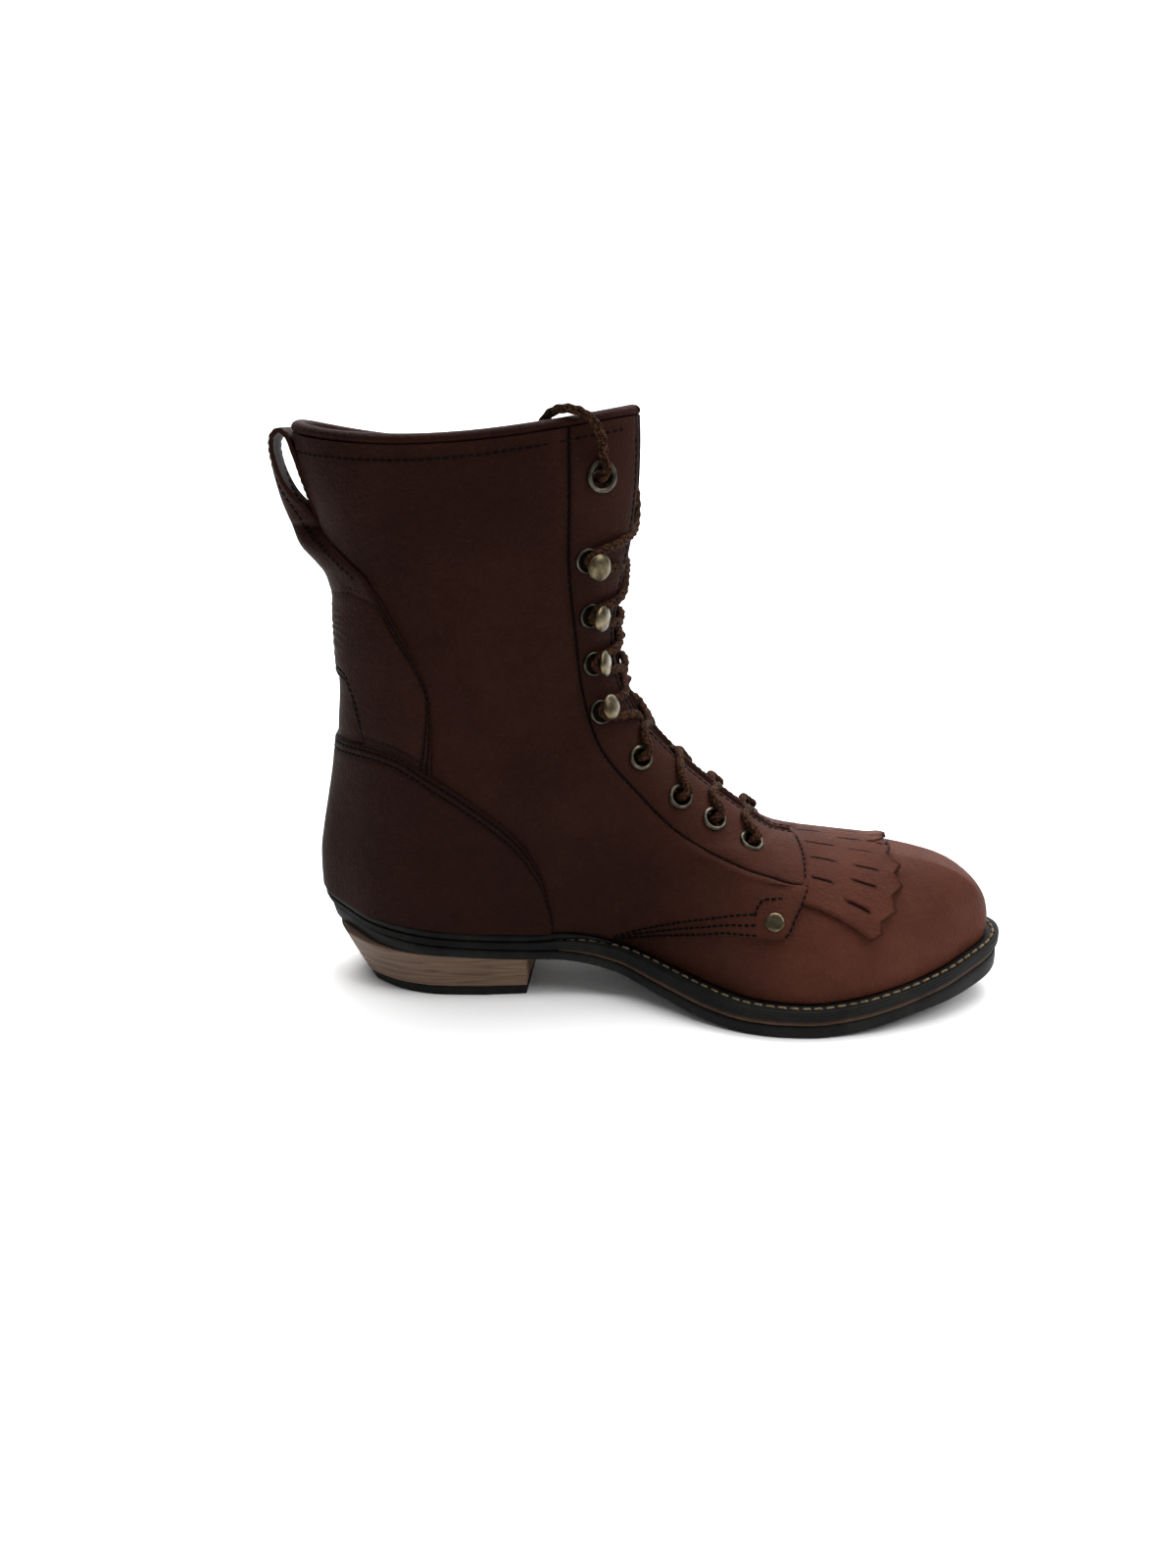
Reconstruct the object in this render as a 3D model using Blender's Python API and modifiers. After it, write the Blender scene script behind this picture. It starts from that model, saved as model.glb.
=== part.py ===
"""Packer boot for the left foot: stacked heel, welted sole, laced shaft, kiltie and pull loop.

Sizes are in millimetres and are scaled to metres when the meshes are made. While modelling, x runs from the
back of the heel (0) to the toe, y from the inner side of the foot (negative) to its outer side, z up from the
floor. The finished boot is centred on the middle of its bounding box.
"""

import functools
import math

import bmesh
import bpy
import numpy as np
from mathutils import Matrix, Vector

MM = 0.001

# Driving dimensions
SOLE_LENGTH = 308.0
BOX_CENTRE_X = 150.7
BOX_CENTRE_Y = -4.4

# Fits between pieces
SEAT_GAP = 0.3
OVERLAY_GAP = 0.7

# Sole: half widths of the edge on the inner and outer side, and the welt left bare beside the upper
PLAN_COLUMNS = ("x", "inner", "outer", "bare_inner", "bare_outer")
PLAN = (
    (14.0, 20.5, 20.5, 2.2, 2.2),
    (30.0, 30.5, 30.5, 2.2, 2.2),
    (52.0, 35.8, 35.8, 2.2, 2.2),
    (76.0, 35.6, 36.4, 2.3, 2.3),
    (100.0, 33.2, 36.6, 2.8, 2.6),
    (120.0, 30.2, 36.8, 4.4, 3.6),
    (138.0, 29.6, 38.2, 6.8, 4.6),
    (156.0, 37.4, 42.0, 9.0, 5.4),
    (176.0, 49.2, 46.4, 9.2, 5.8),
    (194.0, 56.4, 49.0, 7.6, 5.8),
    (210.0, 58.8, 50.0, 6.4, 5.8),
    (228.0, 57.4, 49.2, 5.8, 5.8),
    (246.0, 52.6, 46.8, 5.6, 5.6),
    (264.0, 44.8, 42.0, 5.5, 5.5),
    (280.0, 35.8, 34.6, 5.5, 5.5),
    (296.0, 22.4, 22.4, 5.5, 5.5),
)
PLAN_BACK_RADIUS = 29.0
PLAN_TOE_RADIUS = 27.0
PLAN_STEPS = 32

# Sole: height of its underside, and the thickness of each layer above it
SOLE_COLUMNS = ("x", "bottom", "outsole", "midsole", "welt", "rand")
SOLE = (
    (0.0, 28.0, 7.8, 0.0, 3.2, 3.6),
    (14.0, 24.4, 7.4, 0.0, 3.2, 3.6),
    (30.0, 22.0, 6.4, 0.0, 3.2, 3.6),
    (60.0, 20.4, 4.8, 0.0, 3.2, 3.6),
    (85.0, 19.6, 4.2, 0.0, 3.3, 3.6),
    (100.0, 19.0, 4.2, 0.0, 3.5, 3.4),
    (112.0, 18.3, 4.3, 0.3, 3.8, 3.0),
    (124.0, 16.6, 4.4, 0.7, 4.2, 2.3),
    (136.0, 13.2, 4.6, 1.1, 4.6, 1.2),
    (148.0, 9.0, 5.0, 1.4, 5.0, 0.3),
    (160.0, 5.5, 5.3, 1.6, 5.0, 0.0),
    (174.0, 2.4, 5.5, 1.6, 5.0, 0.0),
    (188.0, 0.5, 5.5, 1.6, 5.0, 0.0),
    (196.0, 0.0, 5.5, 1.6, 5.0, 0.0),
    (222.0, 0.0, 5.5, 1.6, 5.0, 0.0),
    (238.0, 1.1, 5.5, 1.6, 5.0, 0.0),
    (255.0, 3.6, 5.5, 1.6, 5.0, 0.0),
    (275.0, 6.8, 6.5, 1.6, 5.0, 0.0),
    (290.0, 8.8, 8.2, 1.6, 5.0, 0.0),
    (308.0, 12.8, 9.1, 1.6, 5.0, 0.0),
)
MIDSOLE_START = 113.0
EDGE_STEP = 0.7
EDGE_BEVEL = 1.0
WELT_WIDTH = 14.0
RAND_END = 136.0
RAND_INSET = 0.9
RAND_BULGE = 0.2
RAND_TOP_INSET = 0.5
RAND_WIDTH = 8.0
RAND_LIFT = 0.5
RAND_DROP = 0.7
RAND_LEAST = 0.4
RAND_DRAW = 3.4
RAND_DRAW_START = 95.0
RAND_LIFT_SPAN = (95.0, 125.0)
RAND_DROP_SPAN = (80.0, 110.0)
INSOLE_INSET = 14.5
INSOLE_RISE = 0.6

# Heel
HEEL_BREAST = 99.0
HEEL_INSET = 1.2
HEEL_BACK_BOTTOM = 22.4
HEEL_NARROW_MIDDLE = 0.93
HEEL_NARROW_BREAST = 0.87
HEEL_ROUND_SHARE = 0.42
HEEL_ROUNDNESS = 2.1
HEEL_WIDEST_X = 50.0
HEEL_BREAST_LEAN = 0.8
HEEL_WAIST_DEPTH = 0.4
TOPLIFT_HEIGHT = 4.6
TOPLIFT_DEPTH = 0.78
HEEL_STEPS = 18

# Sole edges draw in below one another round the back of the heel
TUCK_END = 60.0
TUCK = {"welt_top": 1.6, "welt_bottom": 2.8, "outsole_top": 3.2, "outsole_bottom": 5.4, "stack_top": 7.2}

# Upper: each row is a level ring of the last, from the sole's edge to the collar, between a height on the
# back line and a point of the front line
RING_COLUMNS = ("back_z", "front_x", "front_z")
RINGS = (
    (43.2, 301.8, 30.2),
    (45.6, 302.6, 36.0),
    (48.2, 301.6, 42.0),
    (51.2, 298.6, 48.2),
    (54.6, 293.2, 54.0),
    (58.4, 284.8, 59.0),
    (62.6, 273.0, 62.8),
    (67.2, 258.6, 65.6),
    (72.2, 241.4, 67.6),
    (77.8, 223.2, 69.0),
    (83.6, 206.5, 71.0),
    (90.0, 192.0, 80.2),
    (96.8, 178.0, 90.6),
    (104.0, 164.4, 102.2),
    (112.5, 152.4, 115.0),
    (122.0, 143.0, 128.6),
    (133.0, 137.4, 143.2),
    (146.0, 135.6, 159.0),
    (160.0, 137.2, 175.0),
    (175.0, 140.4, 192.0),
    (191.0, 143.2, 209.0),
    (208.0, 144.6, 225.0),
    (225.5, 145.0, 238.0),
    (241.0, 144.8, 247.6),
)
BACK_COLUMNS = ("z", "x")
BACK = (
    (38.0, 4.6),
    (48.0, 4.2),
    (58.0, 4.6),
    (70.0, 6.6),
    (85.0, 9.6),
    (104.0, 13.4),
    (120.0, 15.6),
    (137.0, 17.0),
    (157.0, 16.8),
    (175.0, 17.4),
    (188.0, 17.0),
    (204.0, 13.2),
    (222.0, 8.0),
    (244.0, 3.4),
)
WALL = 2.2
THROAT_ROW = 10
THROAT_FINE_ROWS = (9.5, 10.5, 11.5)
RING_COUNT = len(RINGS)
SIDE_STEPS = 20
DOME_SIDE = 2.35
DOME_TOP = 1.9
SHAFT_COLUMNS = ("row", "half_width")
SHAFT = ((6.0, 35.0), (10.0, 35.0), (14.0, 34.5), (18.0, 35.0), (23.0, 37.0))
SHAFT_ROUNDNESS = 0.88
SHAFT_BACK_FULLNESS = 0.05
TOE_ROW = 2.0
FOOT_ROW = 7.0
SHAFT_ROW = 15.0
ANKLE_LOW = 42.0
ANKLE_HIGH = 125.0
ANKLE_FRONT = 205.0
ANKLE_BACK = 150.0
FEATHER_FADE_ROWS = 9.0
COLLAR_DIP = 7.0
COLLAR_DIP_OUTER = 10.0
COLLAR_DIP_ROW = 17.0
COLLAR_DIP_SKEW = 0.85
THROAT_COLUMNS = ("row", "half_gap")
THROAT = ((10.0, 0.0), (11.0, 3.6), (13.0, 4.8), (14.5, 7.4), (16.5, 10.0), (19.0, 9.0), (23.0, 10.0))

# Overlays: edges seen from the side
EDGE_COLUMNS = ("x", "z")
COUNTER_EDGE = (
    (13.0, 113.6),
    (30.0, 114.4),
    (43.0, 112.6),
    (60.4, 103.8),
    (84.8, 87.3),
    (96.6, 76.0),
    (104.6, 62.0),
    (108.4, 45.5),
    (109.8, 36.0),
)
COUNTER_THICK = 1.4
COUNTER_GAP = 0.9
COUNTER_FOOT = 0.7
COUNTER_COLUMNS = 15
COUNTER_ROWS = 6
STRAP_TOP_EDGE = (
    (16.0, 187.5),
    (28.0, 186.0),
    (39.5, 180.0),
    (49.5, 165.4),
    (56.5, 152.5),
    (60.0, 143.0),
    (61.0, 138.0),
)
STRAP_ARCH_EDGE = (
    (16.0, 141.5),
    (24.3, 138.8),
    (28.0, 130.0),
    (30.5, 119.8),
    (31.6, 115.6),
)
STRAP_THICK = 1.4
STRAP_MIDDLE_Z = 160.0
STRAP_COLUMNS = 10
STRAP_ROWS = 4
EYESTAY_SEAM = (
    (117.9, 243.5),
    (117.9, 219.3),
    (117.6, 187.0),
    (119.5, 162.6),
    (122.7, 136.8),
    (130.3, 114.3),
    (145.5, 95.3),
    (165.5, 76.6),
    (189.7, 65.2),
    (202.4, 60.8),
    (213.5, 57.6),
)
# Front edge of the facing: x, and the share of the way from the ridge down to the sole
EYESTAY_FRONT = (
    (207.5, 0.02),
    (213.0, 0.03),
    (216.4, 0.08),
    (218.4, 0.145),
    (219.6, 0.276),
    (218.4, 0.395),
)
EYESTAY_THICK = 1.4
EYESTAY_GAP = 1.4
EYESTAY_STEPS = 28
EYESTAY_ROWS = 6
EYESTAY_THROAT_ROWS = 12
EYESTAY_INSET_TURN = 0.012
EYESTAY_TOP_INSET = 0.12
EYESTAY_LOW_INSET = 0.35
FACING_TOP = EYESTAY_GAP + EYESTAY_THICK

# Tongue, kiltie, collar binding and pull loop
TONGUE_THICK = 2.0
TONGUE_HALF_TURN = 0.62
TONGUE_ROWS = (9.2, 22.9)
TONGUE_GAP = 1.2
TONGUE_LEVELS = 14
TONGUE_STRIPS = 7
KILTIE_THICK = 1.5
KILTIE_COLUMNS = ("across", "rear", "front")
KILTIE = (
    (0.0, 215.4, 256.5),
    (0.13, 220.2, 257.5),
    (0.265, 221.8, 259.0),
    (0.39, 221.8, 257.5),
    (0.525, 220.4, 253.5),
    (0.69, 226.0, 245.0),
)
KILTIE_SLITS = (0.065, 0.2, 0.33, 0.46, 0.575)
KILTIE_SLIT_HALF = 0.006
KILTIE_CUTS = ((0.16, 0.40), (0.50, 0.78))
KILTIE_SHORT_ROW_SLITS = 4
KILTIE_PINK = 3.4
KILTIE_SIDE_SHIFT = 0.01
BINDING_RADIUS = 1.9
BINDING_POINTS = 26
BINDING_END_TURN = 0.02
LOOP = (
    (13.6, 189.6),
    (8.6, 192.0),
    (4.8, 197.0),
    (1.4, 204.5),
    (-1.4, 212.5),
    (-3.4, 220.5),
    (-5.2, 228.5),
    (-5.7, 235.0),
    (-4.2, 239.6),
    (-1.0, 241.2),
    (1.4, 238.4),
    (3.2, 232.0),
    (5.8, 222.5),
    (8.6, 213.0),
    (10.8, 205.5),
)
LOOP_HALF_WIDTH = 11.5
LOOP_THICK = 1.8
LOOP_BOW = 130.0
LOOP_STRIPS = 5

# Hardware, seen from the side, from the lowest row up
EYELET_PLACES = ((194.5, 72.0), (178.5, 81.6), (163.8, 91.3), (146.4, 108.4))
HOOK_PLACES = ((131.0, 129.0), (127.4, 149.4), (126.4, 169.9), (125.8, 192.5))
TOP_EYELET_PLACE = (129.7, 224.4)
RIVET_PLACE = (204.9, 45.8)
EYELET_RADIUS = 4.8
EYELET_RIM = 1.0
TOP_EYELET_SCALE = 1.12
EYELET_FLATNESS = 0.75
EYELET_SIDES = 12
EYELET_RIM_SIDES = 4
# Rings of a hook: height, radius, and how far the ring sits forward
HOOK = (
    (0.0, 4.6, 0.0),
    (1.0, 4.4, 0.0),
    (1.5, 2.2, -0.6),
    (4.6, 2.2, 0.6),
    (5.0, 5.8, 1.8),
    (5.8, 5.7, 1.8),
    (6.8, 3.2, 1.8),
)
HOOK_SIDES = 8
RIVET_RADIUS = 3.9
RIVET_HEIGHT = 1.4
RIVET_SIDES = 14
RIVET_TOP_SHARE = 0.6

# Laces
LACE_RADIUS = 1.7
LACE_LIFT = 0.5
LACE_OUT = FACING_TOP + SEAT_GAP + LACE_RADIUS + LACE_LIFT
LACE_START = 7.4
LACE_APART = 2.4
LACE_OVER = 2.0
LACE_UNDER = 0.6
LACE_END_ROUTE = (
    (131.6, -27.4, 231.5),
    (131.6, -29.4, 235.5),
    (130.8, -31.2, 240.0),
    (128.6, -32.0, 244.4),
    (124.6, -31.4, 247.8),
    (119.0, -29.8, 249.6),
    (113.6, -27.6, 249.2),
    (109.2, -25.2, 246.4),
    (106.8, -23.0, 241.5),
    (105.6, -21.6, 235.5),
    (105.2, -21.0, 228.5),
)

# Colours
LEATHER = (0.085, 0.028, 0.020, 1.0)
LEATHER_DARK = (0.060, 0.020, 0.016, 1.0)
RUBBER = (0.012, 0.013, 0.014, 1.0)
MIDSOLE_BROWN = (0.10, 0.055, 0.035, 1.0)
STACK_BROWN = (0.22, 0.11, 0.055, 1.0)
BRASS = (0.32, 0.24, 0.15, 1.0)
LACE_BROWN = (0.06, 0.027, 0.014, 1.0)
INSOLE_TAN = (0.30, 0.18, 0.10, 1.0)


def column(table, columns, name):
    """One named column of a table."""
    return np.array([row[columns.index(name)] for row in table], float)


def smooth(xs, ys):
    """Monotone cubic curve through the points, as a function that holds its end values."""
    xs = np.asarray(xs, float)
    ys = np.asarray(ys, float)
    step = np.diff(xs)
    slope = np.diff(ys) / step
    product = slope[:-1] * slope[1:]
    total = np.where(product > 0, slope[:-1] + slope[1:], 1.0)
    tangent = np.concatenate(([slope[0]], np.where(product > 0, 2 * product / total, 0.0), [slope[-1]]))

    def at(x):
        x = np.clip(np.asarray(x, float), xs[0], xs[-1])
        i = np.clip(np.searchsorted(xs, x, side="right") - 1, 0, len(xs) - 2)
        u = (x - xs[i]) / step[i]
        rise = step[i] * (u * (1 - u) ** 2 * tangent[i] - u * u * (1 - u) * tangent[i + 1])
        return ys[i] * (1 + 2 * u) * (1 - u) ** 2 + ys[i + 1] * u * u * (3 - 2 * u) + rise

    return at


def ease(low, high, value):
    """Smooth step from 0 at low to 1 at high."""
    u = np.clip((value - low) / (high - low), 0.0, 1.0)
    return u * u * (3 - 2 * u)


# Sole curves
PLAN_X = column(PLAN, PLAN_COLUMNS, "x")
SOLE_X = column(SOLE, SOLE_COLUMNS, "x")
sole_bottom = smooth(SOLE_X, column(SOLE, SOLE_COLUMNS, "bottom"))
outsole_thick = smooth(SOLE_X, column(SOLE, SOLE_COLUMNS, "outsole"))
midsole_thick = smooth(SOLE_X, column(SOLE, SOLE_COLUMNS, "midsole"))
welt_thick = smooth(SOLE_X, column(SOLE, SOLE_COLUMNS, "welt"))
rand_thick = smooth(SOLE_X, column(SOLE, SOLE_COLUMNS, "rand"))


def fullness(side):
    """Half width over the sine of the end-to-end angle, which is smooth right to both rounded ends."""
    angle = np.arccos(1 - 2 * PLAN_X / SOLE_LENGTH)
    middle = column(PLAN, PLAN_COLUMNS, side) / np.sin(angle)
    back = math.sqrt(PLAN_BACK_RADIUS * SOLE_LENGTH / 2)
    toe = math.sqrt(PLAN_TOE_RADIUS * SOLE_LENGTH / 2)
    return smooth(np.concatenate(([0.0], angle, [math.pi])), np.concatenate(([back], middle, [toe])))


FULLNESS = {-1: fullness("inner"), 1: fullness("outer")}
BARE = {-1: smooth(PLAN_X, column(PLAN, PLAN_COLUMNS, "bare_inner")),
        1: smooth(PLAN_X, column(PLAN, PLAN_COLUMNS, "bare_outer"))}


def sole_edge(angles, side, inset=0.0):
    """Plan points of the sole's edge on one side, drawn in by a distance along its normal."""
    step = 1e-4

    def point(angle):
        x = SOLE_LENGTH * (1 - np.cos(angle)) / 2
        return np.stack([x, side * FULLNESS[side](np.clip(angle, 0, math.pi)) * np.sin(angle)], axis=-1)

    here = point(angles)
    along = point(angles + step) - point(angles - step)
    along /= np.linalg.norm(along, axis=-1, keepdims=True)
    normal = np.stack([-along[..., 1], along[..., 0]], axis=-1) * side
    return here - normal * np.asarray(inset)[..., None] * np.ones_like(here)


def upper_plan(side):
    """Half width of the upper at the sole's edge, as a function of x, and its two ends."""
    angles = np.linspace(0, math.pi, 361)
    x = SOLE_LENGTH * (1 - np.cos(angles)) / 2
    points = sole_edge(angles, side, BARE[side](x))
    low, high = points[0, 0], points[-1, 0]
    inner_angle = np.arccos(np.clip(1 - 2 * (points[:, 0] - low) / (high - low), -1, 1))
    keep = slice(4, -4)
    ratio = side * points[keep, 1] / np.sin(inner_angle[keep])

    def at(px):
        angle = np.arccos(np.clip(1 - 2 * (px - low) / (high - low), -1, 1))
        return np.interp(angle, inner_angle[keep], ratio) * np.sin(angle)

    return at


UPPER_PLAN = {-1: upper_plan(-1), 1: upper_plan(1)}
PLAN_ENDS = (float(BARE[1](0.0)), SOLE_LENGTH - float(BARE[1](SOLE_LENGTH)))
ROWS = np.arange(RING_COUNT, dtype=float)
back_height = smooth(ROWS, column(RINGS, RING_COLUMNS, "back_z"))
front_x = smooth(ROWS, column(RINGS, RING_COLUMNS, "front_x"))
front_z = smooth(ROWS, column(RINGS, RING_COLUMNS, "front_z"))
back_x = smooth(column(BACK, BACK_COLUMNS, "z"), column(BACK, BACK_COLUMNS, "x"))
shaft_half = smooth(column(SHAFT, SHAFT_COLUMNS, "row"), column(SHAFT, SHAFT_COLUMNS, "half_width"))
TOP_ROW = float(RING_COUNT - 1)
UPPER_ROWS = sorted([*range(RING_COUNT), *THROAT_FINE_ROWS])

# Height of the ridge over each x: the front line of the rings, steepening behind the instep
RIDGE_X = np.concatenate(([60.0, 100.0, 122.0, 132.0], front_x(np.arange(16.0, 1.5, -1.0))))
RIDGE_Z = np.concatenate(([900.0, 420.0, 230.0, 172.0], front_z(np.arange(16.0, 1.5, -1.0))))
ridge = smooth(RIDGE_X, RIDGE_Z)


def feather(x):
    """Height of the upper's lower edge: on the welt, and on the rand round the heel."""
    return (sole_bottom(x) + outsole_thick(x) + midsole_thick(x) + welt_thick(x) + rand_thick(x)
            + 4 * SEAT_GAP)


def surface(turn, row):
    """Outer face of the upper; turn is the angle from the back, negative on the inner side, row the ring."""
    turn, row = np.broadcast_arrays(np.asarray(turn, float), np.asarray(row, float))
    turn = np.where(np.abs(turn) > math.pi, turn - np.sign(turn) * 2 * math.pi, turn)
    angle = np.abs(turn)
    share = (1 - np.cos(angle)) / 2
    start_x = back_x(back_height(row))
    x = start_x + (front_x(row) - start_x) * share
    chord = back_height(row) + (front_z(row) - back_height(row)) * share
    low_chord = back_height(0.0) + (front_z(0.0) - back_height(0.0)) * share
    fade = np.clip(1 - row / FEATHER_FADE_ROWS, 0, 1) ** 2
    dip = np.where(turn > 0, COLLAR_DIP_OUTER, COLLAR_DIP) * np.sin(math.pi * share ** COLLAR_DIP_SKEW)
    dip = dip * ease(COLLAR_DIP_ROW, TOP_ROW, row)
    z = chord + (feather(x) - low_chord) * fade - dip
    shifted = x - (start_x - PLAN_ENDS[0]) * (1 - share) ** 2
    shifted = shifted + (PLAN_ENDS[1] - front_x(row)) * share ** 6 * np.clip(TOE_ROW + 1 - row, 0, 1)
    height = np.clip((z - feather(x)) / (ridge(x) - feather(x)), 0, 1)
    dome = (1 - height ** DOME_TOP) ** (1 / DOME_SIDE)
    half = np.where(turn < 0, UPPER_PLAN[-1](shifted), UPPER_PLAN[1](shifted)) * dome
    oval = shaft_half(row) * np.abs(np.sin(angle)) ** SHAFT_ROUNDNESS
    oval = oval * (1 + SHAFT_BACK_FULLNESS * np.cos(angle))
    by_row = ease(FOOT_ROW, SHAFT_ROW, row)
    by_height = ease(ANKLE_LOW, ANKLE_HIGH, z)
    half = half + (oval - half) * (by_row + (by_height - by_row) * ease(ANKLE_FRONT, ANKLE_BACK, x))
    half = np.where(angle > math.pi - 1e-6, 0.0, half)
    return np.stack([x, np.sign(turn) * half, z], axis=-1)


def surface_normal(turn, row):
    """Outward unit normal of the upper's outer face."""
    step = 2e-3
    low = np.clip(np.asarray(row, float) - step, 0, TOP_ROW)
    high = np.clip(np.asarray(row, float) + step, 0, TOP_ROW)
    around = surface(turn + step, row) - surface(turn - step, row)
    upward = surface(turn, high) - surface(turn, low)
    normal = np.cross(upward, around)
    return normal / np.linalg.norm(normal, axis=-1, keepdims=True)


half_gap = smooth(column(THROAT, THROAT_COLUMNS, "row"), column(THROAT, THROAT_COLUMNS, "half_gap"))


@functools.lru_cache(maxsize=None)
def edge_turn(row, side):
    """Angle round to the throat's edge on one side of a ring, or to the closed front below the throat."""
    gap = float(half_gap(row))
    if gap <= 0:
        return math.pi
    angles = np.linspace(math.pi * 0.6, math.pi, 400)
    across = np.abs(surface(side * angles, row)[:, 1])
    return float(np.interp(-gap, -across, angles))


def search(x, side, reached):
    """Angle and row of the upper's point at x on one side; reached tells that the row is high enough."""
    low, high = 0.0, TOP_ROW
    for _ in range(44):
        row = (low + high) / 2
        start = float(back_x(back_height(row)))
        share = min(max((x - start) / (float(front_x(row)) - start), 0.0), 1.0)
        turn = side * math.acos(1 - 2 * share)
        if reached(surface(turn, row)):
            high = row
        else:
            low = row
    return turn, row


def locate(x, z, side):
    """Angle and row of the upper's point that is seen at x, z from one side."""
    return search(x, side, lambda point: point[2] >= z)


def vamp_place(x, across):
    """Angle and row on the vamp at x, a signed share of the way from the ridge down to the sole."""
    side = -1 if across < 0 else 1
    reach = float(UPPER_PLAN[side](x)) * math.sin(abs(across) * math.pi / 2) ** (2 / DOME_SIDE)
    return search(x, side, lambda point: abs(point[1]) <= reach)


def offset_point(turn, row, out):
    """Point at a distance outside the upper's outer face."""
    return surface(turn, row) + surface_normal(turn, row) * out


# Building

def to_frame(points):
    """Millimetres in the modelling frame to metres in the finished frame."""
    return (np.asarray(points, float) - (BOX_CENTRE_X, BOX_CENTRE_Y, 0.0)) * MM


def start_scene():
    """Remove every object and make one collection for the boot's pieces and one for cutters."""
    for item in list(bpy.data.objects):
        bpy.data.objects.remove(item, do_unlink=True)
    boot = bpy.data.collections.new("packer_boot")
    cutters = bpy.data.collections.new("cutters")
    bpy.context.scene.collection.children.link(boot)
    bpy.context.scene.collection.children.link(cutters)
    return boot, cutters


def material(name, colour, roughness, metallic=0.0):
    """Plain Principled material of a piece."""
    made = bpy.data.materials.new(name)
    made.use_nodes = True
    shader = made.node_tree.nodes["Principled BSDF"]
    shader.inputs["Base Color"].default_value = colour
    shader.inputs["Roughness"].default_value = roughness
    shader.inputs["Metallic"].default_value = metallic
    return made


def piece(collection, name, mesh, look):
    """Object of a mesh, shaded smooth, with its own material."""
    colour, roughness, metallic = look
    mesh.shade_smooth()
    mesh.set_sharp_from_angle(angle=math.radians(40))
    mesh.materials.append(material(name, colour, roughness, metallic))
    made = bpy.data.objects.new(name, mesh)
    collection.objects.link(made)
    return made


def finish_mesh(shape, name, closed=True):
    """Weld a bmesh, turn its faces outward where it is closed, and make it a mesh."""
    bmesh.ops.remove_doubles(shape, verts=shape.verts, dist=2e-6)
    if closed:
        bmesh.ops.recalc_face_normals(shape, faces=shape.faces)
    mesh = bpy.data.meshes.new(name)
    shape.to_mesh(mesh)
    shape.free()
    return mesh


def sheet_mesh(name, grid, skip=()):
    """Open surface over a grid of points, with the cells in skip left out."""
    shape = bmesh.new()
    points = to_frame(grid)
    rows, columns = points.shape[:2]
    verts = [[shape.verts.new(points[r, c]) for c in range(columns)] for r in range(rows)]
    for r in range(rows - 1):
        for c in range(columns - 1):
            if (r, c) not in skip:
                shape.faces.new((verts[r][c], verts[r + 1][c], verts[r + 1][c + 1], verts[r][c + 1]))
    loose = [v for v in shape.verts if not v.link_faces]
    bmesh.ops.delete(shape, geom=loose, context="VERTS")
    return finish_mesh(shape, name, closed=False)


def shell(collection, name, grid, thick, grow, look, skip=()):
    """Sheet given a thickness, outward for grow 1 and inward for grow -1."""
    made = piece(collection, name, sheet_mesh(name, grid, skip), look)
    wall = made.modifiers.new("wall", "SOLIDIFY")
    wall.thickness = thick * MM
    wall.offset = grow
    wall.use_rim = True
    return made


def plate(collection, name, rings, look):
    """Solid between stacked rings, each a row of points along the inner side and one along the outer side."""
    shape = bmesh.new()
    loops = []
    for inner, outer in rings:
        inner_verts = [shape.verts.new(p) for p in to_frame(inner)]
        outer_verts = [shape.verts.new(p) for p in to_frame(outer)]
        loops.append((inner_verts, outer_verts))
    for (low_in, low_out), (high_in, high_out) in zip(loops, loops[1:]):
        low = low_in + low_out[::-1]
        high = high_in + high_out[::-1]
        for i in range(len(low)):
            j = (i + 1) % len(low)
            shape.faces.new((low[i], low[j], high[j], high[i]))
    for inner, outer in (loops[0], loops[-1]):
        for i in range(len(inner) - 1):
            shape.faces.new((inner[i], inner[i + 1], outer[i + 1], outer[i]))
    return piece(collection, name, finish_mesh(shape, name), look)


def swept(collection, name, sections, look, closed_path):
    """Solid swept through closed sections, capped where the path is open."""
    shape = bmesh.new()
    loops = [[shape.verts.new(p) for p in to_frame(section)] for section in sections]
    count = len(loops)
    size = len(loops[0])
    for k in range(count if closed_path else count - 1):
        here, there = loops[k], loops[(k + 1) % count]
        for i in range(size):
            j = (i + 1) % size
            shape.faces.new((here[i], here[j], there[j], there[i]))
    if not closed_path:
        shape.faces.new(loops[0])
        shape.faces.new(loops[-1])
    return piece(collection, name, finish_mesh(shape, name), look)


def tube(collection, name, route, radius, look):
    """Round tube along a route, as a bevelled curve with filled caps."""
    curve = bpy.data.curves.new(name, "CURVE")
    curve.dimensions = "3D"
    curve.bevel_depth = radius * MM
    curve.bevel_resolution = 2
    curve.use_fill_caps = True
    spline = curve.splines.new("POLY")
    points = to_frame(route)
    spline.points.add(len(points) - 1)
    for target, point in zip(spline.points, points):
        target.co = (*point, 1.0)
    colour, roughness, metallic = look
    curve.materials.append(material(name, colour, roughness, metallic))
    made = bpy.data.objects.new(name, curve)
    collection.objects.link(made)
    return made


def tube_to_mesh(made):
    """Replace a curve object by a welded mesh object of the same name."""
    name = made.name
    graph = bpy.context.evaluated_depsgraph_get()
    mesh = bpy.data.meshes.new_from_object(made.evaluated_get(graph))
    shape = bmesh.new()
    shape.from_mesh(mesh)
    bmesh.ops.remove_doubles(shape, verts=shape.verts, dist=1e-6)
    shape.to_mesh(mesh)
    shape.free()
    collection = made.users_collection[0]
    matrix = made.matrix_world.copy()
    bpy.data.objects.remove(made, do_unlink=True)
    solid = bpy.data.objects.new(name, mesh)
    solid.matrix_world = matrix
    collection.objects.link(solid)
    return solid


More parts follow.
